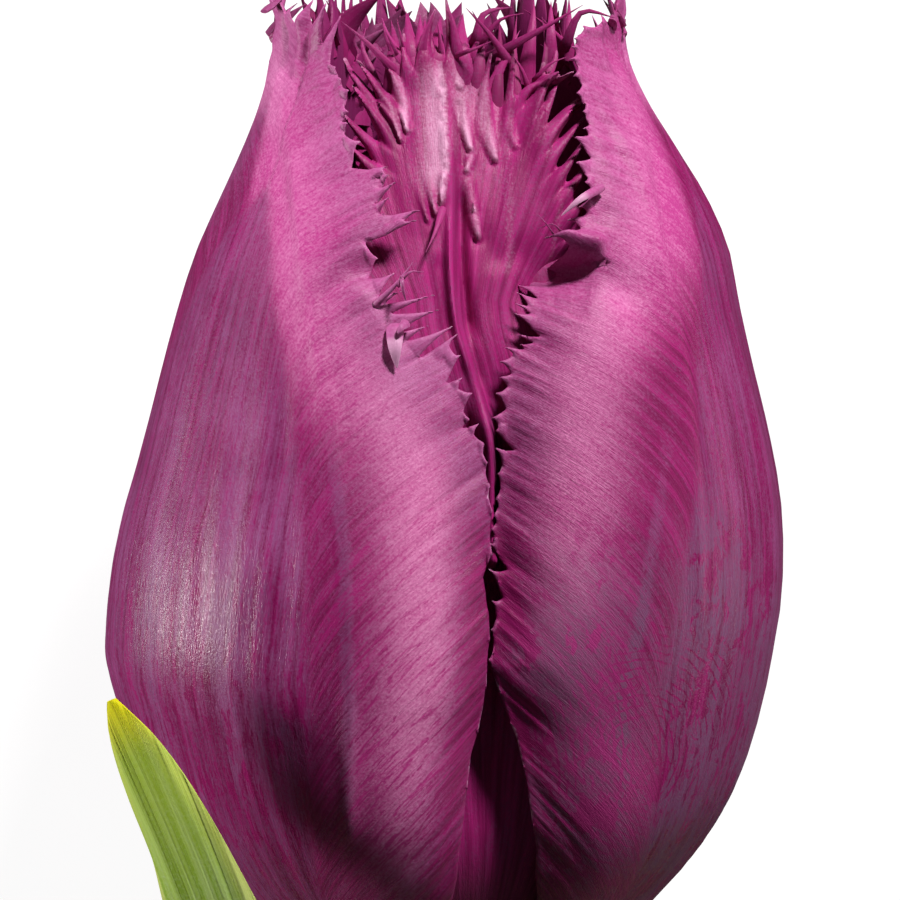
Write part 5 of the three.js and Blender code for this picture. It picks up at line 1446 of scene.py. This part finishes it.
# ---- stem ----------------------------------------------------------------------------------------------
STEM_LINE = [
    [0, -8, 22.15], [-0.2, -25, 20.6], [-1.4, -60, 17.4], [-3, -105, 13.3], [-2.4, -150, 9.6],
    [0.6, -200, 6.1], [4.8, -250, 3.56],
]
stem_points = [around_axis(0, 0, h) for h in (2.5, 1.2, -0.6, -2.5)] + STEM_LINE
pts, run = centripetal(stem_points)
length = run[-1]
stem_radii = [[0, 2.1], [0.6, 2.7], [2.4, 2.9], [4, 3.2], [8, 3.2], [18, 3.2]]
stem_radii += [[s, 3.2 + 0.45 * float(ramp(0, length, s))] for s in np.arange(34, length - 8, 17)]
stem_radii += [[length, 3.65]]
LEAF_AT = [118, 164, 220]


def stem_section(a, s):
    q = s * length
    ridges = 0.010 * np.cos(9 * a + 0.6 * np.sin(q * 0.03)) + 0.006 * noise(a * 6, q * 0.03, 95)
    swell = 0.0
    for where in LEAF_AT:
        swell = swell + 0.035 * np.exp(-(((q - where) / 3.0) ** 2))
    return 1 + ridges + swell + 0.012 * noise(a * 1.5, q * 0.08, 96) - 0.035 * ramp(length - 0.5, length, q)


bag = Bag()
limb(bag, stem_points, [[s / length, r] for s, r in stem_radii], 72, stem_section, rings=150)
# the cut end: a pith with rings of fibres, a little sunken
n = bag.count
e = bag.pts[0]
keep = bag.vals
ring_end = e[(len(e) - 2 - 72): (len(e) - 2)]
centre, axis = e[-1], (pts[-1] - pts[-8]) / np.linalg.norm(pts[-1] - pts[-8])
bag.tris = [bag.tris[0][: 72]]
shares = np.concatenate([[1.0], np.linspace(0.97, 0.0, 22)])
face = []
for j, q in enumerate(shares):
    a = np.arange(72) / 72 * 2 * math.pi
    r = ring_end - centre
    dip = -0.22 * ramp(1.0, 0.8, q) + 0.06 * noise(np.cos(a) * q * 9, np.sin(a) * q * 9, 97) * ramp(1.0, 0.9, q)
    face.append(centre + r * q + axis * np.asarray(dip)[..., None] * np.ones((72, 1)))
bag.add(np.vstack(face), quads=grid_faces(len(shares), 72, around=True), edge=np.repeat(ramp(1.0, 0.95, shares), 72), tip=0.0)
bag.vals["tip"][0] = 1 - bag.vals["tip"][0] * length / (length)
bag.make("stem_body", node="flower_stem", slot="stem", material=mat_stem, sharp=60)

# ---- leaves ----------------------------------------------------------------------------------------------
LEAVES = {
    "leaf_upper": dict(
        line=[[-2.9, -106, 17.55], [-3.4, -92, 19.8], [-4.2, -72, 25.2], [-5.6, -50, 31.8], [-8, -28, 38.2], [-11.6, -8, 43.2], [-16.7, 9, 46.3], [-22.7, 23.4, 47.6]],
        normal=[[0, 0, 1], [-0.05, 0, 1], [-0.12, 0, 1], [-0.2, 0, 1], [-0.3, 0, 1], [-0.42, 0, 1], [-0.6, 0, 0.95], [-0.6, 0, 0.9]],
        width=[[0, 12.5], [0.08, 14], [0.2, 17.5], [0.36, 23], [0.5, 24.5], [0.64, 21.5], [0.77, 14.2], [0.88, 8.2], [0.94, 6.0], [0.975, 3.9], [0.995, 1.5], [1, 0.7]],
        curl=[[0, 4.4], [0.1, 5.4], [0.25, 8.5], [0.5, 12], [0.75, 9], [1, 5]], wave=0.5, seed=131),
    "leaf_middle": dict(
        line=[[2.1, -152, 9.5], [4.2, -138, 11.6], [9.5, -116, 14.2], [18.5, -90, 14.4], [29, -64, 11.5], [39, -40, 7], [46.5, -20, 1.6], [51, -4, -1.2]],
        normal=[[1, 0, 0], [1, 0, -0.08], [1, 0, -0.25], [0.95, 0, -0.5], [0.8, 0, -0.75], [0.55, 0, -0.9], [0.3, 0, -1], [0.15, 0, -1]],
        width=[[0, 13], [0.08, 15], [0.2, 21], [0.36, 29.5], [0.5, 32], [0.64, 29], [0.78, 21], [0.89, 12], [0.95, 7], [0.98, 3.8], [0.996, 1.4], [1, 0.7]],
        curl=[[0, 4.45], [0.1, 6], [0.25, 11], [0.5, 18], [0.75, 22], [1, 14]], wave=1.1, seed=137),
    "leaf_lower": dict(
        line=[[-3.35, -208, 5.7], [-6.2, -192, 7.6], [-13.5, -166, 10.2], [-25, -136, 11], [-38, -104, 9], [-49, -74, 5.6], [-56.5, -48, 1.6], [-60.5, -27, -1.5]],
        normal=[[-1, 0, 0], [-1, 0, -0.08], [-0.95, 0, -0.35], [-0.8, 0, -0.66], [-0.6, 0, -0.85], [-0.42, 0, -0.95], [-0.25, 0, -1], [-0.1, 0, -1]],
        width=[[0, 13.5], [0.07, 16], [0.18, 25], [0.34, 38], [0.48, 43], [0.62, 39.5], [0.76, 29], [0.88, 16.5], [0.945, 9.5], [0.98, 4.6], [0.996, 1.6], [1, 0.7]],
        curl=[[0, 4.55], [0.1, 6.5], [0.25, 13], [0.5, 24], [0.75, 28], [1, 18]], wave=1.6, seed=139),
}


def leaf(name, node, l, rows=150, cols=46):
    pts, run = centripetal(l["line"])
    last = len(l["line"]) - 1
    share = 1 - (1 - np.arange(rows + 1) / rows) ** 1.25
    p, t = along_line(pts, run, share * run[-1])
    n = np.stack([through([[i / last, q[k]] for i, q in enumerate(l["normal"])], share) for k in range(3)], -1)
    n -= (n * t).sum(-1, keepdims=True) * t
    n /= np.linalg.norm(n, axis=-1, keepdims=True)
    s = np.cross(t, n)
    half, curl = through(l["width"], share) / 2, through(l["curl"], share)
    u = np.sin(np.linspace(-1, 1, cols + 1) * math.pi / 2 * 0.86) / math.sin(math.pi / 2 * 0.86)
    U, SH = np.meshgrid(u, share)
    angle = U * (half / curl)[:, None]
    wave = l["wave"] * U * U * (ramp(0.12, 0.4, share) * ramp(1, 0.85, share))[:, None] * np.sin(SH * 19 + np.where(U > 0, 1.7, 0))
    wave = wave + 0.35 * np.abs(U) ** 4 * noise(SH * 26, np.sign(U) * 3, l["seed"]) * ramp(0.05, 0.2, SH) * ramp(1, 0.93, SH)
    # parallel veins, a sunken midrib and a blunt, slightly thickened tip
    across = U * half[:, None]
    vein = 0.05 * np.sin(across * 2 * math.pi / 1.5 + 0.7 * noise(across * 0.2, SH * 5, l["seed"] + 1)) + 0.03 * noise(across * 1.9, SH * 9, l["seed"] + 2)
    rib = -0.22 * np.exp(-((across / 0.8) ** 2)) * ramp(1.0, 0.8, SH)
    normal = np.cos(angle)[..., None] * n[:, None] + np.sin(angle)[..., None] * s[:, None]
    mid = p[:, None] + (curl[:, None] * (np.cos(angle) - 1))[..., None] * n[:, None] + (curl[:, None] * np.sin(angle))[..., None] * s[:, None] + wave[..., None] * normal
    sunk = 1 - ramp(0, 0.05, SH)
    mid = mid - (0.95 * sunk)[..., None] * normal
    thick = 0.9 * (0.65 + 0.35 * ramp(1, 0.85, SH)) * (1 - 0.5 * sunk)
    drop = mid[..., 2] - thick / 2
    mid[..., 2] = thick / 2 + 0.5 * (drop + np.hypot(drop, 0.4))
    edge = thick * (0.5 - 0.36 * np.abs(U) ** 3)
    fade = ramp(1.0, 0.9, np.abs(U))
    above = mid + (edge + (vein + rib) * fade)[..., None] * normal
    below = mid - (edge + (vein - rib * 0.8) * fade * 0.6)[..., None] * normal
    above[..., 2] = np.maximum(above[..., 2], 0.02)
    below[..., 2] = np.maximum(below[..., 2], 0.02)
    R, C = rows + 1, cols + 1
    vals = dict(cu=across, cv=SH * run[-1], tip=SH, edge=np.minimum(half[:, None] - np.abs(across), (1 - SH) * run[-1]))
    bag = Bag()
    bag.add(above, quads=grid_faces(R, C), **vals)
    bag.add(below, quads=grid_faces(R, C, flip=True), **vals)
    o = lambda r, c: r * C + c
    i = lambda r, c: R * C + r * C + c
    c, r = np.arange(C - 1), np.arange(R - 1)
    bag.quads += [
        np.stack([o(0, c), i(0, c), i(0, c + 1), o(0, c + 1)], -1),
        np.stack([o(R - 1, c), o(R - 1, c + 1), i(R - 1, c + 1), i(R - 1, c)], -1),
        np.stack([o(r, 0), o(r + 1, 0), i(r + 1, 0), i(r, 0)], -1),
        np.stack([o(r, C - 1), i(r, C - 1), i(r + 1, C - 1), o(r + 1, C - 1)], -1),
    ]
    return bag.make(name, node=node, slot="leaf", material=mat_leaf, sharp=70)


leaf("blade_upper", "leaf_upper", LEAVES["leaf_upper"])
leaf("blade_middle", "leaf_middle", LEAVES["leaf_middle"])
leaf("blade_lower", "leaf_lower", LEAVES["leaf_lower"])

# ---- floor, light and camera ---------------------------------------------------------------------------
k = Nodes("floor_white")
sm = k.noise(k.scaled(k.coords(), 3, 3, 3), 1.0, 2, 0.5)
floor_mat = k.principled(
    Base_Color=k.mix(sm, (0.20, 0.20, 0.20, 1), (0.22, 0.22, 0.22, 1)), Roughness=0.9, Specular_IOR_Level=0.1,
    Emission_Color=(1, 1, 1, 1), Emission_Strength=0.90,
)
me = bpy.data.meshes.new("floor")
# a plain sweep: flat, and rising all round a long way off
rise = [(1.0, 0.0), (1.8, 0.0), (2.2, 0.03), (2.5, 0.12), (2.75, 0.30), (2.92, 0.60), (3.0, 1.0), (3.02, 3.2)]
turn = np.arange(96) / 96 * 2 * math.pi
sweep = [(0.0, 0.0, 0.0)] + [(r * math.cos(a), r * math.sin(a), z) for r, z in rise for a in turn]
me.from_pydata(
    sweep, [],
    [(0, 1 + k, 1 + (k + 1) % 96) for k in range(96)]
    + [(1 + i * 96 + k, 1 + (i + 1) * 96 + k, 1 + (i + 1) * 96 + (k + 1) % 96, 1 + i * 96 + (k + 1) % 96) for i in range(len(rise) - 1) for k in range(96)],
)
me.polygons.foreach_set("use_smooth", np.ones(len(me.polygons), bool))
me.materials.append(floor_mat)
floor = bpy.data.objects.new("floor", me)
floor.location.z = -0.0002
bpy.context.scene.collection.objects.link(floor)
floor.visible_diffuse = False
floor.visible_glossy = False


def world_at(x, y, z):
    return [(v + s) / 1000 for v, s in zip((x, y, z), SHIFT)]


def area(name, place, target, power, sx, sy, color=(1, 1, 1)):
    from mathutils import Vector

    l = bpy.data.lights.new(name, "AREA")
    l.shape, l.size, l.size_y, l.energy, l.color = "RECTANGLE", sx, sy, power, color
    o = bpy.data.objects.new(name, l)
    o.location = world_at(*place)
    o.rotation_euler = (Vector(world_at(*target)) - o.location).to_track_quat("-Z", "Y").to_euler()
    bpy.context.scene.collection.objects.link(o)
    return o


area("softbox_left", (-430, 24, 68), (0, 25, 34), 1.8, 0.13, 0.045)
area("softbox_right", (430, 20, 70), (0, 25, 30), 0.55, 0.30, 0.10)
area("light_mouth", (280, 680, 450), (0, 35, 25), 8.8, 0.12, 0.12)

world = bpy.data.worlds.new("studio")
world.use_nodes = True
bg = world.node_tree.nodes["Background"]
bg.inputs["Color"].default_value = (1, 1, 1, 1)
bg.inputs["Strength"].default_value = 0.052
bpy.context.scene.world = world
bpy.context.scene.view_settings.view_transform = "Standard"

cam = bpy.data.cameras.new("camera")
cam.lens, cam.sensor_width, cam.sensor_fit = 150, 36, "HORIZONTAL"
cam.clip_start, cam.clip_end = 0.01, 10
co = bpy.data.objects.new("camera", cam)
co.location = world_at(*EYE)
co.rotation_euler = (0, 0, 0)
bpy.context.scene.collection.objects.link(co)
bpy.context.scene.camera = co
